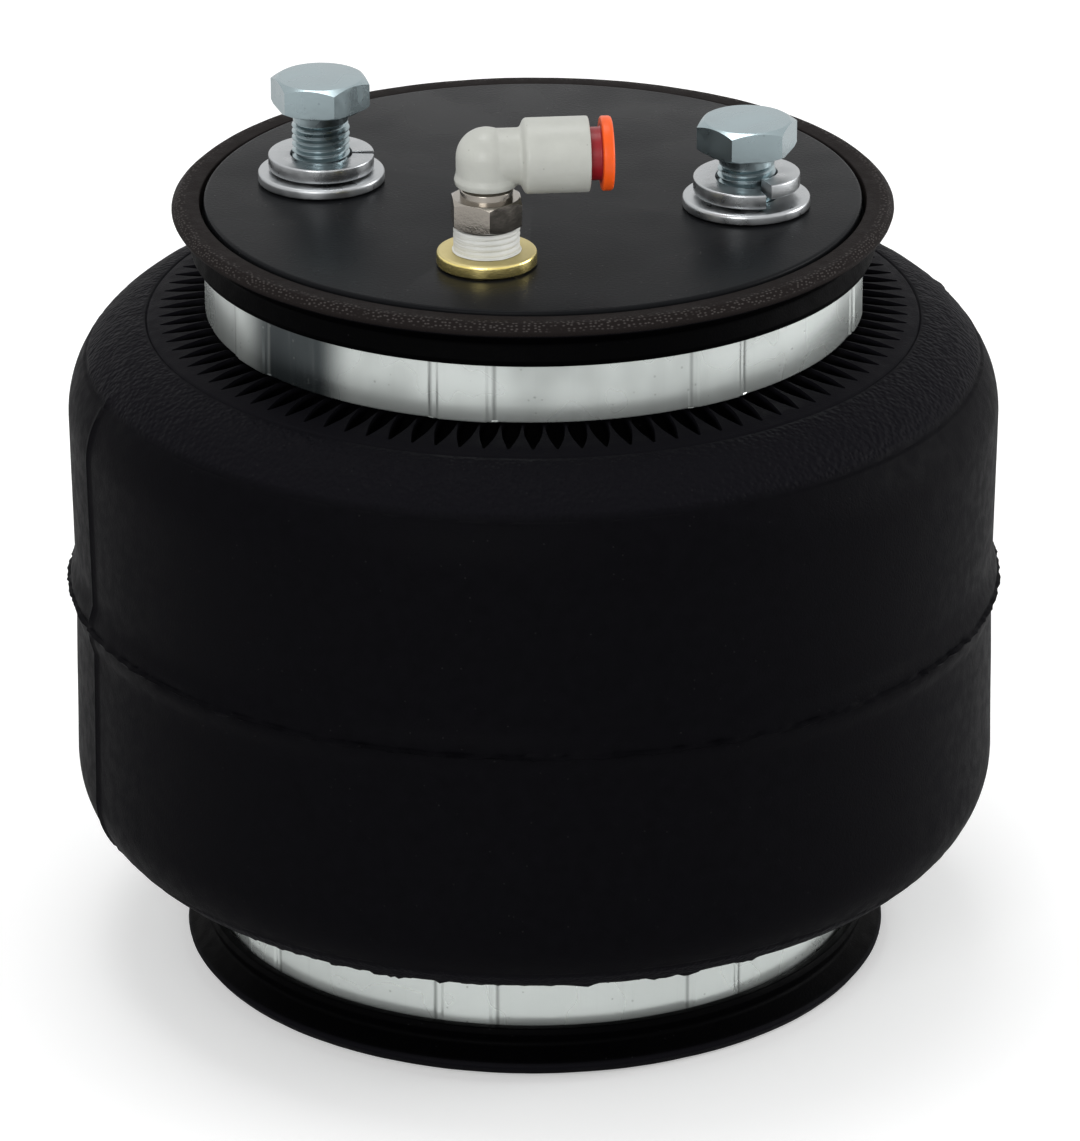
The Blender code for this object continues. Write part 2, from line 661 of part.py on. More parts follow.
def make_elbow(name, finish, parent):
    """The moulded elbow: stem, rounded corner, arm and barrel, with the stepped bore for the tube."""
    stem_top = ARM_HEIGHT - ELBOW_BOTTOM
    stem = [
        (0, -stem_top),
        (STEM_LIP_RADIUS, -stem_top),
        (STEM_LIP_RADIUS, -stem_top + STEM_LIP_HEIGHT),
        (STEM_RADIUS, -stem_top + STEM_LIP_HEIGHT * 1.5),
    ]
    dome_steps = 5
    for i in range(dome_steps):
        angle = pi / 2 * i / dome_steps
        stem.append((STEM_RADIUS * cos(angle), STEM_RADIUS * sin(angle)))
    stem.append((0, STEM_RADIUS))
    elbow = piece(name, turned(stem, ROUND_SIDES), finish, parent)
    arm = [
        (0, 0),
        (ARM_NECK_RADIUS, 0),
        (ARM_NECK_RADIUS, ARM_BARREL_START),
        (ARM_BARREL_RADIUS, ARM_BARREL_START),
        (ARM_BARREL_RADIUS, ARM_BARREL_END),
        (0, ARM_BARREL_END),
    ]
    shape(turned(arm, ROUND_SIDES, along_x=True), elbow, "UNION")
    lip_bore = SPIGOT_RADIUS + GAP
    socket = [
        (0, -stem_top - GAP * 2),
        (lip_bore, -stem_top - GAP * 2),
        (lip_bore, -stem_top + STEM_LIP_HEIGHT / 2),
        (STEM_BORE_RADIUS, -stem_top + STEM_LIP_HEIGHT / 2),
        (STEM_BORE_RADIUS, SPIGOT_TOP + GAP - ARM_HEIGHT),
        (0, SPIGOT_TOP + GAP - ARM_HEIGHT),
    ]
    shape(turned(socket), elbow, "DIFFERENCE")
    bore = [
        (0, 0),
        (ARM_PASSAGE_RADIUS, 0),
        (ARM_PASSAGE_RADIUS, TUBE_STOP),
        (TUBE_BORE_RADIUS, TUBE_STOP),
        (TUBE_BORE_RADIUS, seal_start() - GAP),
        (SEAT_RADIUS, seal_start() - GAP),
        (SEAT_RADIUS, ARM_BARREL_END + GAP),
        (0, ARM_BARREL_END + GAP),
    ]
    shape(turned(bore, along_x=True), elbow, "DIFFERENCE")
    return elbow


def make_tube_seal(name, finish, parent):
    start = seal_start()
    outline = [
        (TUBE_BORE_RADIUS, start),
        (SEAT_RADIUS - GAP, start),
        (SEAT_RADIUS - GAP, start + SEAL_LENGTH),
        (SEAL_RADIUS, start + SEAL_LENGTH),
        (TUBE_BORE_RADIUS + GAP, start + SEAL_LENGTH / 2),
    ]
    return piece(name, turned(outline, along_x=True), finish, parent)


def make_collet(name, finish, parent):
    """The stainless grab ring, whose sprung fingers lean in and bite the tube."""
    start = collet_start()
    end = start + COLLET_LENGTH
    outer = SEAT_RADIUS - GAP
    sheet = GUIDE_WALL
    outline = [
        (COLLET_TIP_RADIUS, start),
        (COLLET_TIP_RADIUS + sheet, start),
        (outer - sheet, end - 2 * sheet),
        (outer - sheet, start + sheet),
        (outer, start + sheet),
        (outer, end),
        (outer - sheet, end),
    ]
    collet = piece(name, turned(outline, ROUND_SIDES, along_x=True), finish, parent)
    for i in range(COLLET_SLITS):
        angle = pi * i / COLLET_SLITS
        bm = bmesh.new()
        bmesh.ops.create_cube(bm, size=1.0)
        size = (COLLET_LENGTH, COLLET_SLIT_WIDTH, 2 * (outer - 2 * sheet))
        bmesh.ops.scale(bm, vec=size, verts=bm.verts)
        bmesh.ops.translate(bm, vec=(start + COLLET_LENGTH / 2 - sheet, 0, 0), verts=bm.verts)
        bmesh.ops.rotate(bm, cent=(0, 0, 0), matrix=Matrix.Rotation(angle, 3, "X"), verts=bm.verts)
        shape(bm, collet, "DIFFERENCE")
    return collet


def make_guide(name, finish, parent):
    """The ring pressed into the barrel's mouth, which holds the collet and guides the collar."""
    outer = SEAT_RADIUS - GAP
    outline = ring_outline(outer - GUIDE_WALL, outer, collet_end() + GAP, ARM_BARREL_END - GAP)
    return piece(name, turned(outline, along_x=True), finish, parent)


def make_release_collar(name, finish, parent):
    """The push-in collar: a sleeve inside the guide ring and the flange that a finger presses."""
    flange = ARM_BARREL_END + COLLAR_STAND
    start = collet_end() + COLLAR_TRAVEL + GAP
    round_over = COLLAR_FLANGE_THICKNESS / 4
    outline = [
        (TUBE_BORE_RADIUS, start),
        (COLLAR_NECK_RADIUS, start),
        (COLLAR_NECK_RADIUS, flange),
        (COLLAR_FLANGE_RADIUS, flange),
        (COLLAR_FLANGE_RADIUS, flange + COLLAR_FLANGE_THICKNESS - round_over),
        (COLLAR_FLANGE_RADIUS - round_over, flange + COLLAR_FLANGE_THICKNESS),
        (TUBE_BORE_RADIUS + round_over, flange + COLLAR_FLANGE_THICKNESS),
        (TUBE_BORE_RADIUS, flange + COLLAR_FLANGE_THICKNESS - round_over),
    ]
    return piece(name, turned(outline, ROUND_SIDES, along_x=True), finish, parent)


def main():
    for old in list(bpy.data.objects):
        bpy.data.objects.remove(old, do_unlink=True)

    nylon = material("black_nylon", (0.028, 0.029, 0.031), 0.38)
    rubber = material("black_rubber", (0.012, 0.012, 0.014), 0.55)
    zinc = material("zinc_plate", (0.46, 0.49, 0.49), 0.30, 1.0)
    bolt_zinc = material("blue_zinc", (0.40, 0.46, 0.48), 0.28, 1.0)
    brass = material("brass", (0.55, 0.42, 0.16), 0.30, 1.0)
    nickel = material("nickel", (0.42, 0.40, 0.36), 0.22, 1.0)
    grey = material("grey_resin", (0.52, 0.53, 0.50), 0.42)
    orange = material("orange_resin", (0.72, 0.11, 0.02), 0.40)
    stainless = material("stainless", (0.50, 0.50, 0.50), 0.30, 1.0)
    seal = material("seal_rubber", (0.015, 0.015, 0.015), 0.60)

    base = carrier("base_carrier", (0, 0, 0))
    top = carrier("top_carrier", (0, 0, HEIGHT), base)

    make_cap("lower_end_cap", nylon, base, (0, 0, 0), with_port=False, flip=True)
    make_crimp_ring("lower_crimp_ring", zinc, base, (0, 0, 0), flip=True)
    make_sleeve("bellows", rubber, base)
    make_cap("upper_end_cap", nylon, top, (0, 0, 0), with_port=True)
    make_crimp_ring("upper_crimp_ring", zinc, top, (0, 0, 0))

    sides = (("left", -1), ("right", 1))
    lifts = {"left": BOLT_LIFT_LEFT, "right": BOLT_LIFT_RIGHT}
    turns = {"left": BOLT_TURN_LEFT, "right": BOLT_TURN_RIGHT}
    springs = {"left": LOCK_WASHER_SPRING_LEFT, "right": LOCK_WASHER_SPRING_RIGHT}
    slits = {"left": LOCK_WASHER_TURN_LEFT, "right": LOCK_WASHER_TURN_RIGHT}
    for side, sign in sides:
        make_insert(f"upper_insert_{side}", bolt_zinc, top, bolt_place(sign, 0))
        make_insert(f"lower_insert_{side}", bolt_zinc, base, bolt_place(sign, 0), flip=True)
        washer_low = GAP
        lock_low = washer_low + FLAT_WASHER_THICKNESS + GAP
        make_flat_washer(f"flat_washer_{side}", zinc, top, bolt_place(sign, washer_low))
        make_lock_washer(
            f"lock_washer_{side}", zinc, top, bolt_place(sign, lock_low), springs[side], slits[side]
        )
        axis = carrier(f"bolt_{side}_carrier", bolt_place(sign, lifts[side]), top)
        make_bolt(f"bolt_{side}", bolt_zinc, axis, turns[side])

    make_port_bushing("port_bushing", brass, top, port_place(0))
    make_fitting_stud("fitting_stud", nickel, top, port_place(0))
    make_o_ring("swivel_o_ring", seal, top, port_place(0))
    elbow = carrier("elbow_carrier", port_place(ARM_HEIGHT), top)
    make_elbow("elbow_body", grey, elbow)
    make_tube_seal("tube_seal", seal, elbow)
    make_collet("collet", stainless, elbow)
    make_guide("collet_guide", brass, elbow)
    collar = carrier("collar_carrier", (0, 0, 0), elbow)
    make_release_collar("release_collar", orange, collar)


main()
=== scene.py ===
"""Looks of the air suspension spring, laid out as an add-on and run as a script.

Metres, +Z up, in the frame of the solid model. The spring stands at the origin on the floor.
"""

from math import acos, atan2, ceil, cos, hypot, pi, radians, sin, tan, tau

import bmesh
import bpy
from bpy.props import FloatProperty, FloatVectorProperty, IntProperty, PointerProperty
from mathutils import Matrix, Vector


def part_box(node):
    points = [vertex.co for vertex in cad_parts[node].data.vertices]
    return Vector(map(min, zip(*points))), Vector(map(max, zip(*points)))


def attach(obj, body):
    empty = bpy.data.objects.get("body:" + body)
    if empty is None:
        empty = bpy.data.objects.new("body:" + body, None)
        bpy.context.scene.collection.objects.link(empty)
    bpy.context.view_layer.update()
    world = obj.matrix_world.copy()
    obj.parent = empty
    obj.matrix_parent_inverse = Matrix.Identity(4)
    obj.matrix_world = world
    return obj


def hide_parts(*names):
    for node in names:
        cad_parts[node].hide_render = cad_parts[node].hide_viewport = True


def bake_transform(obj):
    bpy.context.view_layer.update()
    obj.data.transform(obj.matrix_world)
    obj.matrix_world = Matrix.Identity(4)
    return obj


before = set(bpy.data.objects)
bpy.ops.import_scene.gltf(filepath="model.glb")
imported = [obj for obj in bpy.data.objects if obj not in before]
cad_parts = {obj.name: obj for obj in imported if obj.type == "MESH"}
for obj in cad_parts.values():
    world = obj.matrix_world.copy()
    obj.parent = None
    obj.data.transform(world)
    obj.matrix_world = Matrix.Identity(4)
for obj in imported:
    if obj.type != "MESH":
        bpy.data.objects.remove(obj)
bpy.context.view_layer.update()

bl_info = {
    "name": "Air Spring Finish",
    "version": (1, 0, 0),
    "blender": (4, 5, 0),
    "location": "3D View > Sidebar > Air Spring",
    "description": "Models and finishes the pieces of an air suspension spring",
    "category": "Object",
}

# Places that the solid model gives
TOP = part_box("upper_end_cap")[1].z
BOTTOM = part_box("lower_end_cap")[0].z
MIDDLE = (TOP + BOTTOM) / 2
CAP_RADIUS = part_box("upper_end_cap")[1].x
CAP_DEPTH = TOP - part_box("upper_end_cap")[0].z
BAND_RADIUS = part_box("bellows")[1].x
RING_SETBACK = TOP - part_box("upper_crimp_ring")[1].z
RING_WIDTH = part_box("upper_crimp_ring")[1].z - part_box("upper_crimp_ring")[0].z
GAP = 0.0003
BARB = 0.0008
BOSS_WALL = 0.0020
PORT_BODY_RADIUS = 0.0064
PORT_LENGTH = 0.0130

# Shape of the sleeve, followed by its mesh and its finish
RIB_CREST = RING_SETBACK + RING_WIDTH + GAP  # depth of the ribs where they start beside the ring
RIB_ROWS = 6
RIB_COLUMNS = 5  # of faces to a rib and its groove
RIB_FALL = 0.14  # of the ribs' crests, outwards
SHOULDER_RISE = 0.0012
ANNULUS_START = 0.0636  # radii of the pebbled part of the shoulder
ANNULUS_END = 0.0727
UPPER_CURVE = 0.0162
LOWER_CURVE = 0.0148
UPPER_BEAD = (0.0004, 0.0022, 0.0085)  # depths of its crown, its edge and the lip under it
LOWER_BEAD = (0.0004, 0.0027, 0.0076)


def middle_of(node):
    low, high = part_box(node)
    return (low + high) / 2


BOLT_AXES = {side: middle_of(f"flat_washer_{side}").xy for side in ("left", "right")}
PORT_AXIS = middle_of("port_bushing").xy
ARM_HEIGHT = middle_of("release_collar").z
ARM_PLACE = Vector((*PORT_AXIS, ARM_HEIGHT))


def measure(label, about, value):
    """A length among the settings."""
    return FloatProperty(name=label, description=about, default=value, unit="LENGTH")


def tint(label, about, value):
    """A colour among the settings."""
    return FloatVectorProperty(name=label, description=about, default=value, size=3, subtype="COLOR")


class SleeveSizes(bpy.types.PropertyGroup):
    columns: IntProperty(
        name="Columns", description="Columns of faces round the sleeve, five to a rib", default=500, min=100
    )
    neck_bore: measure("Neck bore", "Inner radius of the neck", 0.0463)
    neck_radius: measure("Neck", "Outer radius of the neck under the ring", 0.0518)
    wall: measure("Wall", "Thickness of the sleeve", 0.0045)
    bead_radius: measure("Bead", "Outer radius of the bead round the cap", 0.0586)
    lip_radius: measure("Lip", "Outer radius of the lip that hangs over the ring", 0.0557)
    rib_start: measure("Rib start", "Radius where the ribs start beside the ring", 0.0541)
    rib_end: measure("Rib end", "Radius where the grooves between the ribs run out", 0.0610)
    rib_depth: measure("Rib depth", "Depth of the grooves beside the ring", 0.0021)
    barrel_radius: measure("Barrel", "Outer radius of the barrel", 0.0761)
    colour: tint("Rubber", "Colour of the rubber", (0.0026, 0.0025, 0.0033))


class CapSizes(bpy.types.PropertyGroup):
    plug_radius: measure("Plug", "Outer radius of the plug in the neck", 0.0460)
    plug_wall: measure("Plug wall", "Wall of the plug", 0.0050)
    flange: measure("Flange", "Thickness of the flange", 0.0030)
    deck: measure("Deck", "Thickness of the deck", 0.0070)
    insert_radius: measure("Insert", "Radius of a threaded insert", 0.0078)
    insert_length: measure("Insert length", "Length of a threaded insert", 0.0195)
    colour: tint("Nylon", "Colour of the nylon", (0.0088, 0.0093, 0.0104))


class RingSizes(bpy.types.PropertyGroup):
    radius: measure("Radius", "Outer radius under the crimping dies", 0.0534)
    wall: measure("Wall", "Thickness of the band", 0.0013)
    ridge: measure("Ridge", "Height of the ridges between the dies", 0.0004)
    ridge_width: FloatProperty(
        name="Ridge width", description="Angle that a ridge covers", default=radians(11.0), unit="ROTATION"
    )
    phase: FloatProperty(
        name="Phase", description="Angle of the first ridge", default=radians(-107.0), unit="ROTATION"
    )
    count: IntProperty(name="Dies", description="Number of crimping dies", default=8, min=4)
    colour: tint("Zinc", "Colour of the plating", (0.62, 0.66, 0.64))


class FastenerSizes(bpy.types.PropertyGroup):
    flats: measure("Across flats", "Width of a bolt's head", 0.0143)
    head: measure("Head", "Height of a bolt's head", 0.0052)
    length: measure("Length", "Length of a bolt under its head", 0.0222)
    crest: measure("Crest", "Radius of the thread's crest", 0.0047)
    root: measure("Root", "Radius of the thread's root", 0.00412)
    pitch: measure("Pitch", "Rise of the thread in one turn", 0.0010583)
    spring_right: measure("Spring", "How far the right split washer stands open", 0.0015)
    colour: tint("Blue zinc", "Colour of the bolts", (0.32, 0.39, 0.41))


class FittingSizes(bpy.types.PropertyGroup):
    bushing: measure("Bushing", "Radius of the brass bushing's head", 0.00795)
    hex_flats: measure("Hexagon", "Width of the stud's hexagon across flats", 0.0107)
    barrel: measure("Barrel", "Outer radius of the elbow's barrel", 0.0060)
    stem: measure("Stem", "Outer radius of the elbow's stem", 0.0048)
    voxel: measure("Voxel", "Grain of the elbow's moulded surface", 0.00016)
    resin: tint("Elbow", "Colour of the elbow", (0.50, 0.51, 0.47))
    collar: tint("Collar", "Colour of the release collar", (0.90, 0.11, 0.012))


class StageSettings(bpy.types.PropertyGroup):
    distance: measure("Distance", "From the spring's axis to the camera", 1.070)
    height: measure("Height", "Height of the camera", 0.52647)
    lens: FloatProperty(name="Lens", description="Focal length", default=222.0, unit="CAMERA")
    floor_colour: tint("Floor", "Colour of the floor", (0.93, 0.93, 0.93))


# Modelling by hand, one step at a time


def clear_selection():
    if bpy.context.object and bpy.context.object.mode != "OBJECT":
        bpy.ops.object.mode_set(mode="OBJECT")
    bpy.ops.object.select_all(action="DESELECT")


def only(piece):
    clear_selection()
    bpy.context.view_layer.objects.active = piece
    piece.select_set(True)


def edit(piece):
    only(piece)
    bpy.ops.object.mode_set(mode="EDIT")
    bpy.context.tool_settings.mesh_select_mode = (True, False, False)


def pick(piece, wanted):
    """In edit mode, selects the vertices whose place is wanted."""
    bpy.ops.mesh.select_all(action="DESELECT")
    mesh = bmesh.from_edit_mesh(piece.data)
    for vertex in mesh.verts:
        vertex.select = wanted(vertex.co)
    mesh.select_flush(True)
    bmesh.update_edit_mesh(piece.data, loop_triangles=False, destructive=False)


def pick_numbered(piece, numbers):
    """In edit mode, selects the vertices with these numbers."""
    bpy.ops.mesh.select_all(action="DESELECT")
    mesh = bmesh.from_edit_mesh(piece.data)
    mesh.verts.ensure_lookup_table()
    for number in numbers:
        mesh.verts[number].select = True
    mesh.select_flush(True)
    bmesh.update_edit_mesh(piece.data, loop_triangles=False, destructive=False)


def close_up():
    """Merges doubles and points all the faces outwards."""
    bpy.ops.mesh.select_all(action="SELECT")
    bpy.ops.mesh.remove_doubles(threshold=1e-6)
    bpy.ops.mesh.normals_make_consistent(inside=False)


def rounded(corners, steps=4):
    """(radius, height) along an outline, with an arc at each corner that has a third value, its radius."""
    points = []
    for i, corner in enumerate(corners):
        here = Vector(corner[:2])
        if len(corner) < 3 or i in (0, len(corners) - 1):
            points.append(here)
            continue
        before = Vector(corners[i - 1][:2]) - here
        after = Vector(corners[i + 1][:2]) - here
        half = before.angle(after) / 2
        reach = min(corner[2] / tan(half), before.length * 0.49, after.length * 0.49)
        start = here + before.normalized() * reach
        end = here + after.normalized() * reach
        for j in range(steps + 1):
            t = j / steps
            points.append(start * (1 - t) ** 2 + here * 2 * t * (1 - t) + end * t**2)
    return points


def draw(name, outline, closed=False):
    """An outline of (radius, height) drawn in the XZ plane by extruding one vertex."""
    clear_selection()
    bpy.ops.mesh.primitive_plane_add(size=0.001, location=(0, 0, 0))
    piece = bpy.context.object
    piece.name = name
    edit(piece)
    bpy.ops.mesh.select_all(action="SELECT")
    bpy.ops.mesh.merge(type="CENTER")
    bpy.ops.transform.translate(value=(outline[0][0], 0, outline[0][1]))
    for here, after in zip(outline, outline[1:]):
        step = (after[0] - here[0], 0, after[1] - here[1])
        bpy.ops.mesh.extrude_vertices_move(TRANSFORM_OT_translate={"value": step})
    if closed:
        mesh = bmesh.from_edit_mesh(piece.data)
        for vertex in mesh.verts:
            vertex.select = len(vertex.link_edges) == 1
        mesh.select_flush(True)
        bpy.ops.mesh.edge_face_add()
    return piece


def lathe(name, corners, steps=64, closed=True, ease=4):
    """The outline spun round the Z axis into a closed body."""
    piece = draw(name, rounded(corners, ease), closed)
    bpy.ops.mesh.select_all(action="SELECT")
    bpy.ops.mesh.spin(steps=steps, angle=tau, center=(0, 0, 0), axis=(0, 0, 1), use_auto_merge=True)
    close_up()
    bpy.ops.object.mode_set(mode="OBJECT")
    return piece


def lay_along_x(piece):
    """Turns a piece that was made along Z until it lies along X."""
    only(piece)
    piece.rotation_euler = (0, pi / 2, 0)
    bpy.ops.object.transform_apply(location=True, rotation=True, scale=True)


def settle(piece, place, turn=0.0):
    """Moves the piece to its place in the spring, with the place kept in its mesh."""
    only(piece)
    piece.rotation_euler = (0, 0, turn)
    bpy.ops.transform.translate(value=place)
    bpy.ops.object.transform_apply(location=True, rotation=True, scale=True)


def combine(piece, tool, operation):
    """Cuts the tool out of the piece, adds it or keeps what both share."""
    only(piece)
    change = piece.modifiers.new(operation.title(), "BOOLEAN")
    change.operation = operation
    change.object = tool
    bpy.ops.object.modifier_apply(modifier=change.name)
    bpy.data.objects.remove(tool, do_unlink=True)


def corner_radius(flats):
    """From the middle of a hexagon to a corner."""
    return flats / 2 / cos(pi / 6)


def hex_bar(name, flats, low, high, turn=0.0):
    """A hexagonal bar with a corner at the angle turn."""
    clear_selection()
    bpy.ops.mesh.primitive_cylinder_add(
        vertices=6,
        radius=corner_radius(flats),
        depth=high - low,
        location=(0, 0, (low + high) / 2),
        rotation=(0, 0, turn - pi / 6),
    )
    piece = bpy.context.object
    piece.name = name
    bpy.ops.object.transform_apply(location=True, rotation=True, scale=True)
    return piece


def threaded_bar(name, crest, root, pitch, low, high, steps=40):
    """A bar with a helical thread, cut square at both heights."""
    start = low - pitch
    shares = ((root, 0.0), (root, 0.12), (crest, 0.44), (crest, 0.56), (root, 0.88), (root, 1.0))
    bar = draw(name, [(radius, start + pitch * share) for radius, share in shares])
    only(bar)
    screw = bar.modifiers.new("Thread", "SCREW")
    screw.screw_offset = pitch
    screw.iterations = ceil((high - start) / pitch) + 1
    screw.steps = screw.render_steps = steps
    screw.use_merge_vertices = True
    screw.merge_threshold = 1e-6
    bpy.ops.object.modifier_apply(modifier=screw.name)
    edit(bar)
    close_up()
    for height, inner in ((low, True), (high, False)):
        bpy.ops.mesh.select_all(action="SELECT")
        bpy.ops.mesh.bisect(
            plane_co=(0, 0, height),
            plane_no=(0, 0, 1),
            use_fill=True,
            clear_inner=inner,
            clear_outer=not inner,
            threshold=1e-8,
        )
    close_up()
    bpy.ops.object.mode_set(mode="OBJECT")
    return bar


def twin(piece, name):
    """A copy of the piece with a mesh of its own."""
    only(piece)
    bpy.ops.object.duplicate()
    copy = bpy.context.object
    copy.name = name
    return copy


def shade(piece, finish, angle=35.0):
    only(piece)
    bpy.ops.object.shade_smooth_by_angle(angle=radians(angle))
    piece.data.materials.clear()
    piece.data.materials.append(finish)


# Finishes


class Wires:
    """Adds nodes to a tree and joins them."""

    def __init__(self, tree):
        self.tree = tree

    def feed(self, socket, value):
        """Links the value to the socket, or sets it where the value is a plain one."""
        if isinstance(value, bpy.types.NodeSocket):
            self.tree.links.new(value, socket)
        else:
            socket.default_value = value

    def add(self, kind, inputs=None, **settings):
        node = self.tree.nodes.new(kind)
        for name, value in settings.items():
            setattr(node, name, value)
        for name, value in (inputs or {}).items():
            self.feed(node.inputs[name], value)
        return node

    def math(self, operation, first, second=0.0):
        return self.add("ShaderNodeMath", {0: first, 1: second}, operation=operation).outputs[0]

    def times(self, first, second):
        return self.math("MULTIPLY", first, second)

    def plus(self, first, second):
        return self.math("ADD", first, second)

    def minus(self, first, second):
        return self.math("SUBTRACT", first, second)

    def length(self, first, second):
        """Of a flat arrow with these two sides."""
        return self.math("SQRT", self.plus(self.times(first, first), self.times(second, second)))

    def between(self, value, low, high, start=0.0, end=1.0):
        """Goes smoothly from start to end as the value goes from low to high."""
        inputs = {"Value": value, "From Min": low, "From Max": high, "To Min": start, "To Max": end}
        return self.add("ShaderNodeMapRange", inputs, interpolation_type="SMOOTHSTEP").outputs[0]

    def band(self, value, low, high, soft):
        """1 between low and high, and 0 outside them."""
        rise = self.between(value, low - soft, low + soft)
        fall = self.between(value, high - soft, high + soft, 1.0, 0.0)
        return self.times(rise, fall)

    def mix(self, share, first, second):
        node = self.add("ShaderNodeMix", data_type="RGBA")
        for name, value in {"Factor": share, "A": first, "B": second}.items():
            self.feed(next(s for s in node.inputs if s.name == name and s.enabled), value)
        return next(s for s in node.outputs if s.enabled)

    def noise(self, place, scale, detail=3.0, roughness=0.5):
        inputs = {"Vector": place, "Scale": scale, "Detail": detail, "Roughness": roughness}
        return self.add("ShaderNodeTexNoise", inputs).outputs[0]

    def place(self):
        return self.add("ShaderNodeTexCoord").outputs["Object"]

    def use(self, group, **inputs):
        return self.add("ShaderNodeGroup", inputs, node_tree=group).outputs

    def bump(self, height, distance):
        inputs = {"Height": height, "Distance": distance, "Strength": 1.0}
        return self.add("ShaderNodeBump", inputs).outputs[0]


def new_group(name, inputs, outputs):
    """An empty node group with its named sockets, its wires and the sockets of its input."""
    tree = bpy.data.node_groups.new(name, "ShaderNodeTree")
    for label, kind in inputs.items():
        tree.interface.new_socket(label, in_out="INPUT", socket_type=kind)
    for label, kind in outputs.items():
        tree.interface.new_socket(label, in_out="OUTPUT", socket_type=kind)
    wires = Wires(tree)
    given = wires.add("NodeGroupInput").outputs
    return tree, wires, given


NUMBER = "NodeSocketFloat"
PLACE = "NodeSocketVector"


def ring_place_group():
    """Turn, radius and height of a place about the spring's axis."""
    inputs = {"Place": PLACE}
    outputs = {"Turn": NUMBER, "Radius": NUMBER, "Height": NUMBER}
    tree, wires, given = new_group("Ring place", inputs, outputs)
    parts = wires.add("ShaderNodeSeparateXYZ", {0: given["Place"]}).outputs
    turn = wires.math("DIVIDE", wires.math("ARCTAN2", parts[1], parts[0]), tau)
    values = {"Turn": turn, "Radius": wires.length(parts[0], parts[1]), "Height": parts[2]}
    wires.add("NodeGroupOutput", values)
    return tree


def grain_group():
    """Fine moulded grain with broader unevenness under it, and patches for tone."""
    inputs = {"Place": PLACE, "Fine": NUMBER, "Broad": NUMBER, "Share": NUMBER}
    tree, wires, given = new_group("Moulded grain", inputs, {"Height": NUMBER, "Patches": NUMBER})
    fine = wires.noise(given["Place"], given["Fine"], 3.0, 0.6)
    broad = wires.noise(given["Place"], given["Broad"], 2.0)
    height = wires.plus(fine, wires.times(broad, given["Share"]))
    wires.add("NodeGroupOutput", {"Height": height, "Patches": broad})
    return tree


def specks_group():
    """Small specks of dust or dots of plating, more of them as Amount grows."""
    inputs = {"Place": PLACE, "Size": NUMBER, "Amount": NUMBER}
    tree, wires, given = new_group("Specks", inputs, {"Mask": NUMBER})
    cells = wires.add("ShaderNodeTexVoronoi", {"Vector": given["Place"], "Scale": given["Size"]})
    near = wires.between(cells.outputs["Distance"], 0.10, 0.24, 1.0, 0.0)
    chance = wires.add("ShaderNodeSeparateColor", {0: cells.outputs["Color"]}).outputs[0]
    kept = wires.math("LESS_THAN", chance, given["Amount"])
    wires.add("NodeGroupOutput", {"Mask": wires.times(near, kept)})
    return tree


def streaks_group():
    """Soft bands that run along the axis, such as rolling marks in a plated strip."""
    inputs = {"Turn": NUMBER, "Height": NUMBER, "Count": NUMBER}
    tree, wires, given = new_group("Streaks", inputs, {"Shade": NUMBER})
    around = wires.times(given["Turn"], given["Count"])
    place = wires.add("ShaderNodeCombineXYZ", {0: around, 2: wires.times(given["Height"], 30.0)})
    wires.add("NodeGroupOutput", {"Shade": wires.noise(place.outputs[0], 1.0, 3.0, 0.6)})
    return tree


def new_finish(name, roughness, metallic=0.0, specular=0.5):
    """A material with its shader, and the wires of its tree."""
    made = bpy.data.materials.new(name)
    made.use_nodes = True
    shader = made.node_tree.nodes["Principled BSDF"]
    shader.inputs["Roughness"].default_value = roughness
    shader.inputs["Metallic"].default_value = metallic
    shader.inputs["Specular IOR Level"].default_value = specular
    return made, Wires(made.node_tree), shader


def connect(wires, shader, **values):
    """Links what varies over the surface to the shader."""
    for name, value in values.items():
        wires.tree.links.new(value, shader.inputs[name.replace("_", " ")])


def tone(colour, factor=1.0):
    return (*[channel * factor for channel in colour], 1.0)


def cord_ends(wires, where):
    """Mask of the cord ends that show as dots over the outer edge of the upper bead."""
    over_edge = wires.minus(wires.plus(where["Radius"], TOP - CAP_RADIUS), where["Height"])
    sides = {0: wires.times(where["Turn"], 420.0), 1: wires.times(over_edge, 1300.0)}
    lattice = wires.add("ShaderNodeCombineXYZ", sides).outputs[0]
    inputs = {"Vector": lattice, "Scale": 1.0, "Randomness": 0.75}
    ends = wires.add("ShaderNodeTexVoronoi", inputs, voronoi_dimensions="2D").outputs["Distance"]
    dots = wires.between(ends, 0.08, 0.36, 1.0, 0.0)
    gaps = wires.between(wires.noise(lattice, 0.22, 1.0), 0.26, 0.46)
    return wires.times(wires.times(dots, gaps), wires.band(over_edge, 0.0034, 0.0064, 0.0003))


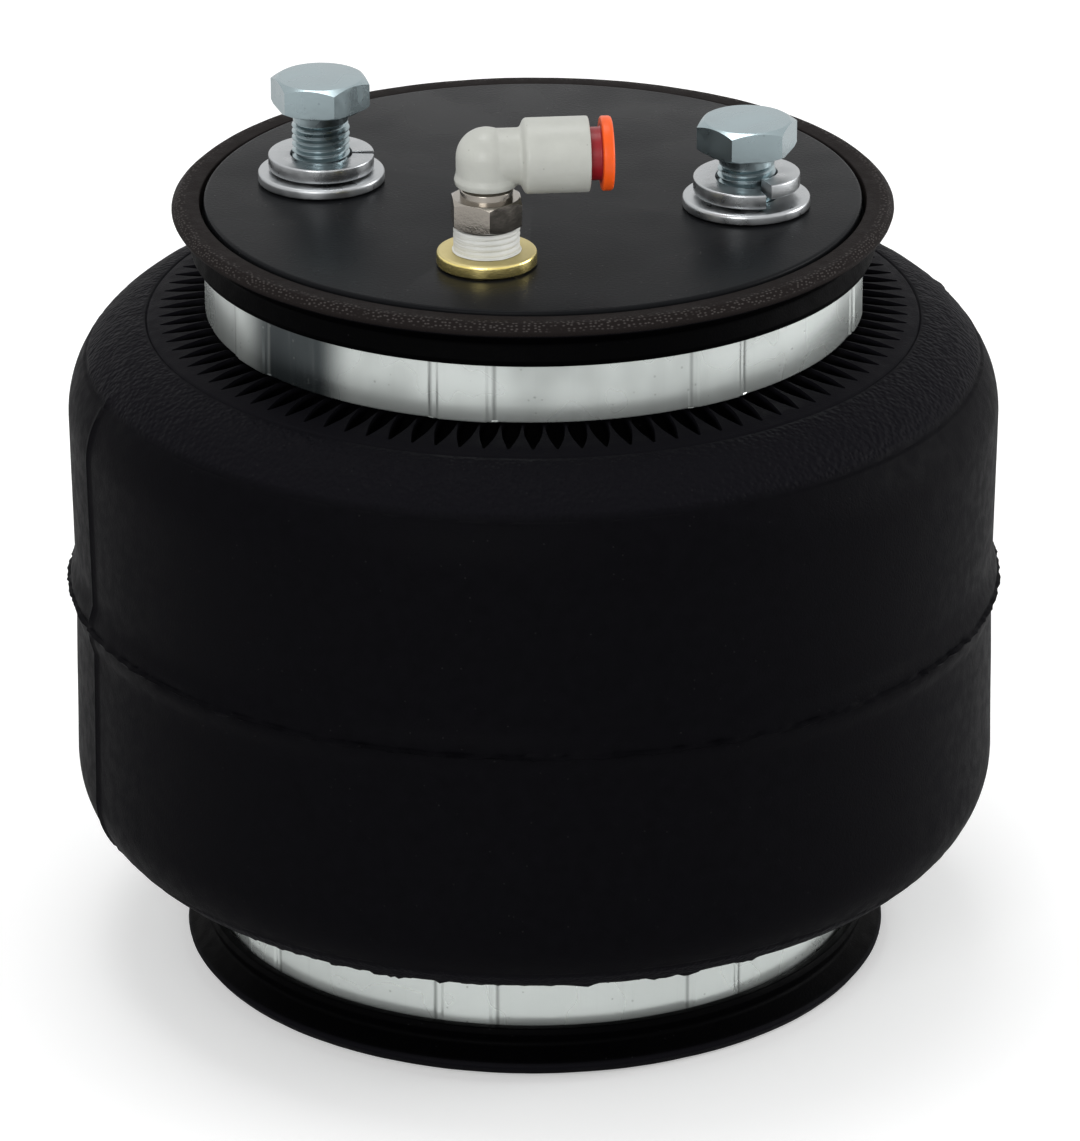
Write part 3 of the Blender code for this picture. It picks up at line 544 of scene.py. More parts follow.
def rubber_finish(groups, sizes):
    """Moulded black rubber, pebbled on its shoulders and brown with cord ends at the upper bead."""
    made, wires, shader = new_finish("moulded_rubber", 0.5, specular=0.016)
    place = wires.place()
    where = wires.use(groups["ring"], Place=place)
    grain = wires.use(groups["grain"], Place=place, Fine=2600.0, Broad=420.0, Share=0.35)
    off_middle = wires.math("ABSOLUTE", wires.minus(where["Height"], MIDDLE))
    annulus = wires.band(where["Radius"], ANNULUS_START, ANNULUS_END, 0.0004)
    bead = wires.between(where["Height"], TOP - 0.0026, TOP - 0.0020)
    cells = wires.add("ShaderNodeTexVoronoi", {"Vector": place, "Scale": 1250.0}, feature="SMOOTH_F1")
    pebble = wires.times(wires.times(cells.outputs["Distance"], annulus), 3.0)
    relief = wires.plus(wires.times(grain["Height"], 0.5), pebble)
    dust = wires.use(groups["specks"], Place=place, Size=1400.0, Amount=0.03)["Mask"]
    base = wires.mix(grain["Patches"], tone(sizes.colour, 0.75), tone(sizes.colour, 1.3))
    # Painted sheen: the ribs and the pebbled shoulder are painted twice as light as the rest of the rubber.
    shoulder_sheen = wires.band(where["Radius"], sizes.rib_start, ANNULUS_END, 0.0006)
    base = wires.mix(shoulder_sheen, base, tone(sizes.colour, 2.0))
    # Painted shade: the grooves between the ribs and the undercut below each bead are painted near black.
    crest = MIDDLE - RIB_CREST + RIB_FALL * sizes.rib_start
    fall = wires.times(where["Radius"], RIB_FALL)
    sunk = wires.minus(wires.minus(crest, fall), off_middle)
    beside_ring = wires.between(where["Radius"], sizes.rib_end - 0.0010, sizes.rib_end, 1.0, 0.0)
    groove = wires.times(wires.between(sunk, 0.0002, 0.0009), beside_ring)
    shade_under_bead = wires.band(off_middle, MIDDLE - 0.0090, MIDDLE - 0.0026, 0.0004)
    base = wires.mix(wires.math("MAXIMUM", groove, shade_under_bead), base, tone(sizes.colour, 0.20))
    # The brown is the bead's own tone, but it is kept to the upper bead, so that the lower bead stays near
    # black as painted shade.
    base = wires.mix(bead, base, (0.0135, 0.0112, 0.0108, 1.0))
    cords = wires.times(cord_ends(wires, where), bead)
    base = wires.mix(wires.times(cords, 0.42), base, (0.12, 0.11, 0.105, 1.0))
    base = wires.mix(wires.times(dust, 0.15), base, (0.06, 0.06, 0.06, 1.0))
    rough = wires.between(grain["Patches"], 0.3, 0.7, 0.46, 0.56)
    connect(wires, shader, Base_Color=base, Roughness=rough, Normal=wires.bump(relief, 0.00012))
    return made


def nylon_finish(groups, sizes):
    """Satin glass-filled nylon, with a little dust and handling marks."""
    made, wires, shader = new_finish("satin_nylon", 0.30, specular=0.029)
    place = wires.place()
    grain = wires.use(groups["grain"], Place=place, Fine=1900.0, Broad=60.0, Share=0.4)
    dust = wires.use(groups["specks"], Place=place, Size=1500.0, Amount=0.02)["Mask"]
    base = wires.mix(grain["Patches"], tone(sizes.colour, 0.8), tone(sizes.colour, 1.25))
    base = wires.mix(wires.times(dust, 0.30), base, (0.20, 0.20, 0.19, 1.0))
    rough = wires.between(grain["Patches"], 0.3, 0.7, 0.24, 0.36)
    connect(wires, shader, Base_Color=base, Roughness=rough, Normal=wires.bump(grain["Height"], 0.00004))
    return made


def zinc_finish(groups, sizes):
    """Clear zinc plate on rolled strip, with soft upright bands, fine pits and painted shade along the fold
    beside each ridge.

    Painted dark reflections lie at set angles on the upper ring only.
    """
    made, wires, shader = new_finish("zinc_strip", 0.30, metallic=0.72)
    place = wires.place()
    where = wires.use(groups["ring"], Place=place)
    broad = wires.use(groups["streaks"], Turn=where["Turn"], Height=where["Height"], Count=14.0)["Shade"]
    fine = wires.use(groups["streaks"], Turn=where["Turn"], Height=where["Height"], Count=260.0)["Shade"]
    pits = wires.use(groups["specks"], Place=place, Size=900.0, Amount=0.14)["Mask"]
    steps = wires.times(where["Turn"], float(sizes.count))
    steps = wires.plus(steps, 0.5 - sizes.phase / tau * sizes.count)
    off_ridge = wires.math("ABSOLUTE", wires.minus(wires.math("FRACT", steps), 0.5))
    border = sizes.ridge_width / 2 / tau * sizes.count
    # Painted shade: a dark line beside each ridge stands for the shade in the fold that the dies press in.
    crease_shade = wires.band(off_ridge, border - 0.006, border + 0.006, 0.005)
    # Painted reflection: dark zones at set angles round the upper ring stand for dark surroundings that the
    # plating would mirror.
    painted_reflection = None
    for start, end in ((-0.417, -0.362), (0.06, 0.13), (0.30, 0.34)):
        zone = wires.band(where["Turn"], start, end, 0.012)
        painted_reflection = wires.math("MAXIMUM", painted_reflection, zone) if painted_reflection else zone
    upper = wires.between(where["Height"], MIDDLE - 0.001, MIDDLE + 0.001)
    painted_reflection = wires.times(painted_reflection, upper)
    base = wires.mix(wires.between(broad, 0.34, 0.58), tone(sizes.colour, 0.70), tone(sizes.colour, 1.0))
    # Painted light: the lower ring is painted lighter than the upper one, in place of light that the barrel
    # above keeps from it.
    base = wires.mix(upper, tone(sizes.colour, 1.35), base)
    base = wires.mix(wires.times(painted_reflection, 0.95), base, (0.012, 0.019, 0.023, 1.0))
    base = wires.mix(wires.between(fine, 0.55, 0.80, 0.0, 0.12), base, tone(sizes.colour, 0.62))
    base = wires.mix(wires.times(crease_shade, 0.55), base, tone(sizes.colour, 0.25))
    base = wires.mix(wires.times(pits, 0.40), base, tone(sizes.colour, 0.35))
    rough = wires.between(broad, 0.3, 0.7, 0.34, 0.22)
    relief = wires.times(pits, -0.7)
    connect(wires, shader, Base_Color=base, Roughness=rough, Normal=wires.bump(relief, 0.00002))
    return made


def plated_finish(groups, name, colour, roughness, fine=900.0):
    """Bright plated metal with uneven tone, faint pits and scuffs."""
    made, wires, shader = new_finish(name, roughness, metallic=1.0)
    place = wires.place()
    grain = wires.use(groups["grain"], Place=place, Fine=fine, Broad=fine / 6, Share=0.8)
    pits = wires.use(groups["specks"], Place=place, Size=fine, Amount=0.12)["Mask"]
    base = wires.mix(grain["Patches"], tone(colour, 0.86), tone(colour, 1.10))
    base = wires.mix(wires.times(pits, 0.3), base, tone(colour, 0.4))
    rough = wires.between(grain["Patches"], 0.3, 0.7, roughness * 0.75, roughness * 1.35)
    connect(wires, shader, Base_Color=base, Roughness=rough, Normal=wires.bump(grain["Height"], 0.00002))
    return made


def brass_finish(groups, face_height):
    """Turned brass: sandy on its upper face, bright and streaked round its edge."""
    made, wires, shader = new_finish("turned_brass", 0.3, metallic=0.95)
    place = wires.place()
    height = wires.add("ShaderNodeSeparateXYZ", {0: place}).outputs[2]
    grain = wires.use(groups["grain"], Place=place, Fine=3200.0, Broad=700.0, Share=0.5)
    face = wires.between(height, face_height - 0.0003, face_height - 0.0001)
    base = wires.mix(grain["Patches"], (0.76, 0.61, 0.18, 1.0), (0.94, 0.81, 0.36, 1.0))
    base = wires.mix(wires.times(face, 0.75), base, (0.42, 0.365, 0.20, 1.0))
    rough = wires.between(face, 0.0, 1.0, 0.24, 0.52)
    connect(wires, shader, Base_Color=base, Roughness=rough, Normal=wires.bump(grain["Height"], 0.00003))
    return made


def resin_finish(groups, name, colour, dark, roughness):
    """Moulded resin with soft mottling, and dark specks of dust."""
    made, wires, shader = new_finish(name, roughness, specular=0.45)
    place = wires.place()
    grain = wires.use(groups["grain"], Place=place, Fine=2400.0, Broad=300.0, Share=0.5)
    dust = wires.use(groups["specks"], Place=place, Size=1300.0, Amount=0.04)["Mask"]
    base = wires.mix(grain["Patches"], tone(colour, 0.90), tone(colour, 1.08))
    base = wires.mix(wires.times(dust, 0.35), base, dark)
    rough = wires.between(grain["Patches"], 0.3, 0.7, roughness * 0.85, roughness * 1.2)
    connect(wires, shader, Base_Color=base, Roughness=rough, Normal=wires.bump(grain["Height"], 0.00003))
    return made


def collar_finish(groups, sizes):
    """Orange resin, with painted shade that darkens it to red on the narrow neck behind the flange."""
    made, wires, shader = new_finish("orange_collar", 0.36, specular=0.28)
    place = wires.place()
    parts = wires.add("ShaderNodeSeparateXYZ", {0: place}).outputs
    across = wires.minus(parts[1], ARM_PLACE.y)
    above = wires.minus(parts[2], ARM_PLACE.z)
    # Painted shade: the narrow neck behind the flange is painted dark red.
    neck = wires.between(wires.length(across, above), 0.0043, 0.0050, 1.0, 0.0)
    grain = wires.use(groups["grain"], Place=place, Fine=2400.0, Broad=500.0, Share=0.4)
    base = wires.mix(grain["Patches"], tone(sizes.collar, 0.9), tone(sizes.collar, 1.1))
    base = wires.mix(neck, base, (0.30, 0.015, 0.022, 1.0))
    connect(wires, shader, Base_Color=base, Normal=wires.bump(grain["Height"], 0.00002))
    return made


def finishes():
    """All the finishes, made once and kept by name."""
    if "Ring place" in bpy.data.node_groups:
        return {made.name: made for made in bpy.data.materials}
    groups = {
        "ring": ring_place_group(),
        "grain": grain_group(),
        "specks": specks_group(),
        "streaks": streaks_group(),
    }
    scene = bpy.context.scene
    rubber_finish(groups, scene.spring_sleeve)
    nylon_finish(groups, scene.spring_caps)
    zinc_finish(groups, scene.spring_rings)
    fastener = scene.spring_fasteners.colour
    plated_finish(groups, "blue_zinc_plate", fastener, 0.26)
    plated_finish(groups, "washer_zinc", (0.43, 0.445, 0.455), 0.32, fine=1400.0)
    plated_finish(groups, "nickel_plate", (0.33, 0.305, 0.27), 0.18, fine=1500.0)
    plated_finish(groups, "stainless_sheet", (0.50, 0.50, 0.49), 0.30, fine=2000.0)
    plated_finish(groups, "guide_brass", (0.60, 0.46, 0.18), 0.32, fine=2000.0)
    brass_finish(groups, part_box("port_bushing")[1].z)
    fitting = scene.spring_fitting
    resin_finish(groups, "grey_resin_moulding", fitting.resin, (0.16, 0.16, 0.14, 1.0), 0.40)
    resin_finish(groups, "thread_sealant", (0.72, 0.73, 0.70), (0.45, 0.44, 0.40, 1.0), 0.55)
    resin_finish(groups, "seal_rubber_finish", (0.012, 0.012, 0.012), (0.03, 0.03, 0.03, 1.0), 0.55)
    collar_finish(groups, fitting)
    return {made.name: made for made in bpy.data.materials}


# Sleeve


def shoulder_centre(sizes, curve):
    """(radius, depth) of the middle of the shoulder's round."""
    return sizes.barrel_radius - curve, RIB_CREST + SHOULDER_RISE + curve


def shoulder_rows(sizes, curve, start):
    """(radius, depth) round the shoulder, from the radius start out to the barrel."""
    steps = 26
    centre_radius, centre_depth = shoulder_centre(sizes, curve)
    first = acos((start - centre_radius) / curve)
    angles = [first * (1 - i / steps) for i in range(1, steps + 1)]
    return [(centre_radius + curve * cos(angle), centre_depth - curve * sin(angle)) for angle in angles]


def stepped(rows, radius, width, drop):
    """Rows with a fine groove let into the surface at a radius."""
    made = []
    for here, after in zip(rows, rows[1:] + [None]):
        made.append(here)
        if after and here[0] <= radius < after[0]:
            share = (radius - here[0]) / (after[0] - here[0])
            depth = here[1] + share * (after[1] - here[1])
            slope = (after[1] - here[1]) / (after[0] - here[0])
            for offset, sink in ((-width, 0.0), (0.0, drop), (width, 0.0)):
                made.append((radius + offset, depth + slope * offset + sink))
    return [row for i, row in enumerate(made) if i == 0 or row[0] > made[i - 1][0] + 1e-5]


def sleeve_half(sizes, setback, bead_end, lip_end, curve):
    """(radius, depth) down the outer side of half of the sleeve, from the neck's bore to its band."""
    ring_edge = RING_SETBACK - GAP
    edge = CAP_RADIUS + GAP
    under_flange = 0.0033
    half = [
        (sizes.neck_bore, under_flange),
        (edge, under_flange),
        (edge + 0.0004, setback, 0.0003),
        (sizes.bead_radius - 0.0012, setback, 0.0007),
        (sizes.bead_radius, bead_end - 0.0007, 0.0005),
        (sizes.bead_radius - 0.0004, bead_end, 0.0003),
        (sizes.lip_radius - 0.0007, ring_edge - 0.0012, 0.0008),
        (sizes.lip_radius, lip_end - 0.0011, 0.0004),
        (sizes.lip_radius - 0.0003, lip_end - 0.0001, 0.0003),
        (sizes.rib_start, lip_end, 0.0002),
        (sizes.rib_start, ring_edge),
        (sizes.neck_radius, ring_edge),
        (sizes.neck_radius, RIB_CREST),
    ]
    points = [tuple(point) for point in rounded(half, 3)]
    for i in range(RIB_ROWS):
        radius = sizes.rib_start + (sizes.rib_end - sizes.rib_start) * i / (RIB_ROWS - 1)
        points.append((radius, RIB_CREST + RIB_FALL * (radius - sizes.rib_start)))
    rows = shoulder_rows(sizes, curve, sizes.rib_end + 0.0006)
    rows = stepped(rows, ANNULUS_START - 0.0006, 0.0003, 0.00028)
    points += stepped(rows, ANNULUS_END + 0.0003, 0.00040, 0.00034)
    waist = sizes.barrel_radius - 0.0004
    shoulder_end = shoulder_centre(sizes, curve)[1]
    band = MIDDLE - 0.0042
    steps = 10
    for i in range(1, steps + 1):
        share = i / steps
        depth = shoulder_end + (band - shoulder_end) * share
        points.append((sizes.barrel_radius + (waist - sizes.barrel_radius) * share, depth))
    points += [
        (waist + 0.00030, MIDDLE - 0.0031),
        (waist + 0.00065, MIDDLE - 0.0020),
        (waist + 0.00080, MIDDLE - 0.0010),
        (waist + 0.00080, MIDDLE - 0.00045),
        (BAND_RADIUS - 0.00035, MIDDLE - 0.00022),
    ]
    return points


def sleeve_inside(sizes, curve):
    """(radius, depth) up the inner side of half of the sleeve, from its middle to the plug's end."""
    centre_radius, centre_depth = shoulder_centre(sizes, curve)
    reach = curve - sizes.wall
    points = []
    for i in range(6):
        angle = pi / 2 * i / 5
        points.append((centre_radius + reach * cos(angle), centre_depth - reach * sin(angle)))
    points.append((sizes.neck_bore + sizes.wall, CAP_DEPTH + sizes.wall / 2))
    points.append((sizes.neck_bore, CAP_DEPTH))
    return points


def sleeve_outline(sizes):
    upper = [(radius, TOP - depth) for radius, depth in sleeve_half(sizes, *UPPER_BEAD, UPPER_CURVE)]
    lower = [(radius, BOTTOM + depth) for radius, depth in sleeve_half(sizes, *LOWER_BEAD, LOWER_CURVE)]
    inside_low = [(radius, BOTTOM + depth) for radius, depth in sleeve_inside(sizes, LOWER_CURVE)]
    inside_high = [(radius, TOP - depth) for radius, depth in sleeve_inside(sizes, UPPER_CURVE)]
    flash = [(BAND_RADIUS - 0.0001, MIDDLE)]
    return upper + flash + lower[::-1] + inside_low[::-1] + inside_high


def column_of(place, columns):
    return round(atan2(place.y, place.x) / tau * columns) % columns


def sink_grooves(skin, sizes, end, towards_middle):
    """Sinks grooves that are wide beside the ring and pointed outwards, and leaves thin ribs between them."""
    depths = (1.0, 1.0, 1.0, 0.96, 0.75, 0.0)
    feet = (1.0, 1.0, 1.0, 0.90, 0.60, 0.0)
    thinner = (0.22, 0.10, -0.10, -0.42, -0.85, -1.25)  # degrees that both sides of a rib's crest move in
    steeper = (0.55, 0.42, 0.20, -0.08, -0.38, -0.60)  # degrees that the feet of its walls move in
    threads = {}
    for vertex in bmesh.from_edit_mesh(skin.data).verts:
        across = (hypot(vertex.co.x, vertex.co.y) - sizes.rib_start) / (sizes.rib_end - sizes.rib_start)
        row = round(across * (RIB_ROWS - 1))
        if abs(abs(vertex.co.z - end) - RIB_CREST) < 0.0013 and abs(across * (RIB_ROWS - 1) - row) < 0.3:
            column = column_of(vertex.co, sizes.columns) % RIB_COLUMNS
            threads.setdefault((row, column), []).append(vertex.index)
    for i, depth in enumerate(depths):
        moves = (
            (0, 0.0, thinner[i]),
            (1, 0.0, -thinner[i]),
            (2, feet[i], -steeper[i]),
            (3, depth, 0.0),
            (4, feet[i], steeper[i]),
        )
        for column, share, turn in moves:
            pick_numbered(skin, threads[i, column])
            if share:
                bpy.ops.transform.translate(value=(0, 0, towards_middle * sizes.rib_depth * share))
            if turn:
                bpy.ops.transform.rotate(
                    value=radians(turn),
                    orient_axis="Z",
                    constraint_axis=(False, False, True),
                    center_override=(0, 0, MIDDLE),
                )


def roughen(skin, name, chosen, size, strength, kind="CLOUDS"):
    """Pushes the chosen vertices in and out along their normals by a noise of the given size."""
    only(skin)
    group = skin.vertex_groups.new(name=name)
    group.add(chosen, 1.0, "REPLACE")
    noise = bpy.data.textures.new(name, kind)
    noise.noise_scale = size
    change = skin.modifiers.new(name, "DISPLACE")
    change.texture = noise
    change.texture_coords = "LOCAL"
    change.strength = strength
    change.mid_level = 0.5
    change.vertex_group = group.name
    bpy.ops.object.modifier_apply(modifier=change.name)


class SPRING_OT_sleeve(bpy.types.Operator):
    """Models the ribbed rubber sleeve with its beads, its shoulders and its mould lines"""

    bl_idname = "spring.sleeve"
    bl_label = "Rubber Sleeve"

    def execute(self, context):
        sizes = context.scene.spring_sleeve
        skin = draw("sleeve_skin", sleeve_outline(sizes), closed=True)
        bpy.ops.mesh.select_all(action="SELECT")
        bpy.ops.mesh.spin(
            steps=sizes.columns, angle=tau, center=(0, 0, 0), axis=(0, 0, 1), use_auto_merge=True
        )
        close_up()
        sink_grooves(skin, sizes, TOP, -1)
        sink_grooves(skin, sizes, BOTTOM, 1)
        self.raise_parting_lines(skin, sizes)
        bpy.ops.object.mode_set(mode="OBJECT")
        self.roughen_surface(skin, sizes)
        shade(skin, finishes()["moulded_rubber"], 40.0)
        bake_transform(skin)
        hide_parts("bellows")
        return {"FINISHED"}

    def raise_parting_lines(self, skin, sizes):
        """The two upright lines where the mould's halves met."""
        reach = MIDDLE - 0.0215

        def on_line(place):
            radius = hypot(place.x, place.y)
            column = column_of(place, sizes.columns)
            lines = [round(angle / 360 * sizes.columns) for angle in (15.0, 195.0)]
            return radius > 0.0715 and abs(place.z - MIDDLE) < reach and column in lines

        pick(skin, on_line)
        bpy.ops.transform.resize(value=(1.0055, 1.0055, 1.0), center_override=(0, 0, MIDDLE))

    def roughen_surface(self, skin, sizes):
        flash, pebble, barrel, lip, torn = [], [], [], [], []
        for vertex in skin.data.vertices:
            radius = hypot(vertex.co.x, vertex.co.y)
            off = abs(vertex.co.z - MIDDLE)
            outer = radius > sizes.barrel_radius - 0.0030
            if outer and off < 0.0007:
                flash.append(vertex.index)
            elif ANNULUS_START < radius < ANNULUS_END + 0.0015 and 0.0190 < MIDDLE - off < 0.0285:
                pebble.append(vertex.index)
                if vertex.co.z < MIDDLE and 0.0664 < radius < 0.0676:
                    torn.append(vertex.index)
            elif outer:
                barrel.append(vertex.index)
            elif off > MIDDLE - 0.0078 and radius > 0.0545:
                lip.append(vertex.index)
        roughen(skin, "ragged_flash", flash, 0.0016, 0.0010)
        roughen(skin, "flash_swell", flash, 0.012, 0.0007)
        roughen(skin, "pebble", pebble, 0.0021, 0.00012, "STUCCI")
        roughen(skin, "torn_flash", torn, 0.0024, 0.0016)
        roughen(skin, "barrel_waves", barrel, 0.011, 0.00012)
        roughen(skin, "bead_waves", lip, 0.007, 0.00012)


# Caps


class SPRING_OT_caps(bpy.types.Operator):
    """Models the two moulded end caps with their bosses and stiffening ribs"""

    bl_idname = "spring.caps"
    bl_label = "End Caps"

    def execute(self, context):
        sizes = context.scene.spring_caps
        upper = self.make_cap("upper_cap_moulding", sizes, TOP, 1, True)
        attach(upper, "top")
        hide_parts("upper_end_cap")
        lower = self.make_cap("lower_cap_moulding", sizes, BOTTOM, -1, False)
        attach(lower, "base")
        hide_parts("lower_end_cap")
        self.make_inserts(sizes)
        return {"FINISHED"}

    def make_cap(self, name, sizes, face, outward, with_port):
        plug, wall = sizes.plug_radius, sizes.plug_wall
        corners = [
            (0, 0),
            (CAP_RADIUS, 0, 0.0006),
            (CAP_RADIUS, sizes.flange, 0.0003),
            (plug, sizes.flange),
            (plug, 0.0080),
            (plug - BARB, 0.0082),
            (plug, 0.0140),
            (plug - BARB, 0.0142),
            (plug, CAP_DEPTH - 2 * BARB, 0.0003),
            (plug - BARB, CAP_DEPTH, 0.0003),
            (plug - wall, CAP_DEPTH, 0.0005),
            (plug - wall, sizes.deck, 0.0015),
            (0, sizes.deck),
        ]
        outline = [(row[0], face - outward * row[1], *row[2:]) for row in corners]
        cap = lathe(name, outline, 180, closed=False)
        root = sizes.deck / 2
        seat = sizes.insert_radius + GAP
        foot = CAP_DEPTH - BARB
        line = BOLT_AXES["right"] - BOLT_AXES["left"]
        bolt_angle = atan2(line.y, line.x)
        stiffener_end = CAP_DEPTH - 0.0040
        past = 0.0020
        for i in range(3):
            clear_selection()
            middle = face - outward * (root + stiffener_end) / 2
            bpy.ops.mesh.primitive_cube_add(
                size=1.0,
                location=(0, 0, middle),
                rotation=(0, 0, bolt_angle + i * pi / 3),
                scale=(2 * plug - wall, 0.0022, stiffener_end - root),
            )
            combine(cap, bpy.context.object, "UNION")
        for axis in BOLT_AXES.values():
            combine(cap, self.bar(axis, seat + BOSS_WALL, face, outward, root, foot), "UNION")
        if with_port:
            reach = PORT_BODY_RADIUS + GAP
            boss = self.bar(PORT_AXIS, reach + BOSS_WALL, face, outward, root, PORT_LENGTH)
            combine(cap, boss, "UNION")
            port = self.bar(PORT_AXIS, reach, face, outward, -past, PORT_LENGTH + past)
            combine(cap, port, "DIFFERENCE")
        for axis in BOLT_AXES.values():
            hole = self.bar(axis, seat, face, outward, -past, sizes.insert_length + GAP)
            combine(cap, hole, "DIFFERENCE")
        shade(cap, finishes()["satin_nylon"])
        return cap

    def bar(self, axis, radius, face, outward, start, end):
        """A round bar between two depths below a cap's face."""
        clear_selection()
        middle = face - outward * (start + end) / 2
        bpy.ops.mesh.primitive_cylinder_add(
            vertices=72, radius=radius, depth=end - start, location=(*axis, middle)
        )
        return bpy.context.object

    def make_inserts(self, sizes):
        """Four steel inserts, tapped right through, with a groove that the nylon grips."""
        fastener = bpy.context.scene.spring_fasteners
        outer, length = sizes.insert_radius, sizes.insert_length
        groove = outer - 0.0010
        corners = [
            (0, 0),
            (outer, 0, 0.0003),
            (outer, -length / 2 + 0.0020, 0.0002),
            (groove, -length / 2 + 0.0017),
            (groove, -length / 2 - 0.0017),
            (outer, -length / 2 - 0.0020, 0.0002),
            (outer, -length, 0.0003),
            (0, -length),
        ]
        first = lathe("insert", corners, 72, closed=False)
        clearance = 0.0001
        bore = threaded_bar(
            "tap", fastener.crest + 0.0006, fastener.crest + clearance, fastener.pitch, -length - 0.001, 0.001
        )
        combine(first, bore, "DIFFERENCE")
        mouth = fastener.crest + 0.0009
        sink = [(0, 0.0005), (mouth + 0.0005, 0.0005), (mouth - 0.0010, -0.0010), (0, -0.0010)]
        combine(first, lathe("countersink", sink, 72, closed=False), "DIFFERENCE")
        for side, axis in BOLT_AXES.items():
            upper = twin(first, f"upper_insert_{side}_tapped")
            settle(upper, (*axis, TOP))
            lower = twin(first, f"lower_insert_{side}_tapped")
            only(lower)
            lower.rotation_euler = (pi, 0, 0)
            bpy.ops.object.transform_apply(location=True, rotation=True, scale=True)
            settle(lower, (*axis, BOTTOM))
            for piece, body, node in (
                (upper, "top", f"upper_insert_{side}"),
                (lower, "base", f"lower_insert_{side}"),
            ):
                shade(piece, finishes()["blue_zinc_plate"])
                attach(piece, body)
                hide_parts(node)
        bpy.data.objects.remove(first, do_unlink=True)


# Crimp bands


class SPRING_OT_rings(bpy.types.Operator):
    """Models the two crimped steel bands with the ridges between their dies"""

    bl_idname = "spring.rings"
    bl_label = "Crimp Bands"

    def execute(self, context):
        sizes = context.scene.spring_rings
        upper = self.make_band("upper_crimped_band", sizes, TOP - RING_SETBACK - RING_WIDTH)
        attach(upper, "top")
        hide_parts("upper_crimp_ring")
        lower = self.make_band("lower_crimped_band", sizes, BOTTOM + RING_SETBACK)
        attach(lower, "base")
        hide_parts("lower_crimp_ring")
        return {"FINISHED"}

    def make_band(self, name, sizes, low):
        high = low + RING_WIDTH
        outer = sizes.radius
        inner = outer - sizes.wall
        edge = 0.0004
        middle = (high + low) / 2
        corners = [
            (inner, low),
            (outer, low, edge),
            (outer, low + RING_WIDTH / 4),
            (outer, middle),
            (outer, high - RING_WIDTH / 4),
            (outer, high, edge),
            (inner, high),
        ]
        band = lathe(name, corners, 720)
        edit(band)
        pitch = tau / sizes.count
        half = sizes.ridge_width / 2

        def on_ridge(place, width):
            if hypot(place.x, place.y) < inner + sizes.wall / 2:
                return False
            turn = (atan2(place.y, place.x) - sizes.phase + pitch / 2) % pitch - pitch / 2
            return abs(turn) < width

        for width in (half, half - radians(1.2)):
            pick(band, lambda place: on_ridge(place, width))
            grown = 1 + sizes.ridge / 2 / outer
            bpy.ops.transform.resize(value=(grown, grown, 1.0), center_override=(0, 0, middle))
        bpy.ops.object.mode_set(mode="OBJECT")
        shade(band, finishes()["zinc_strip"], 20.0)
        return band


# Bolts and washers


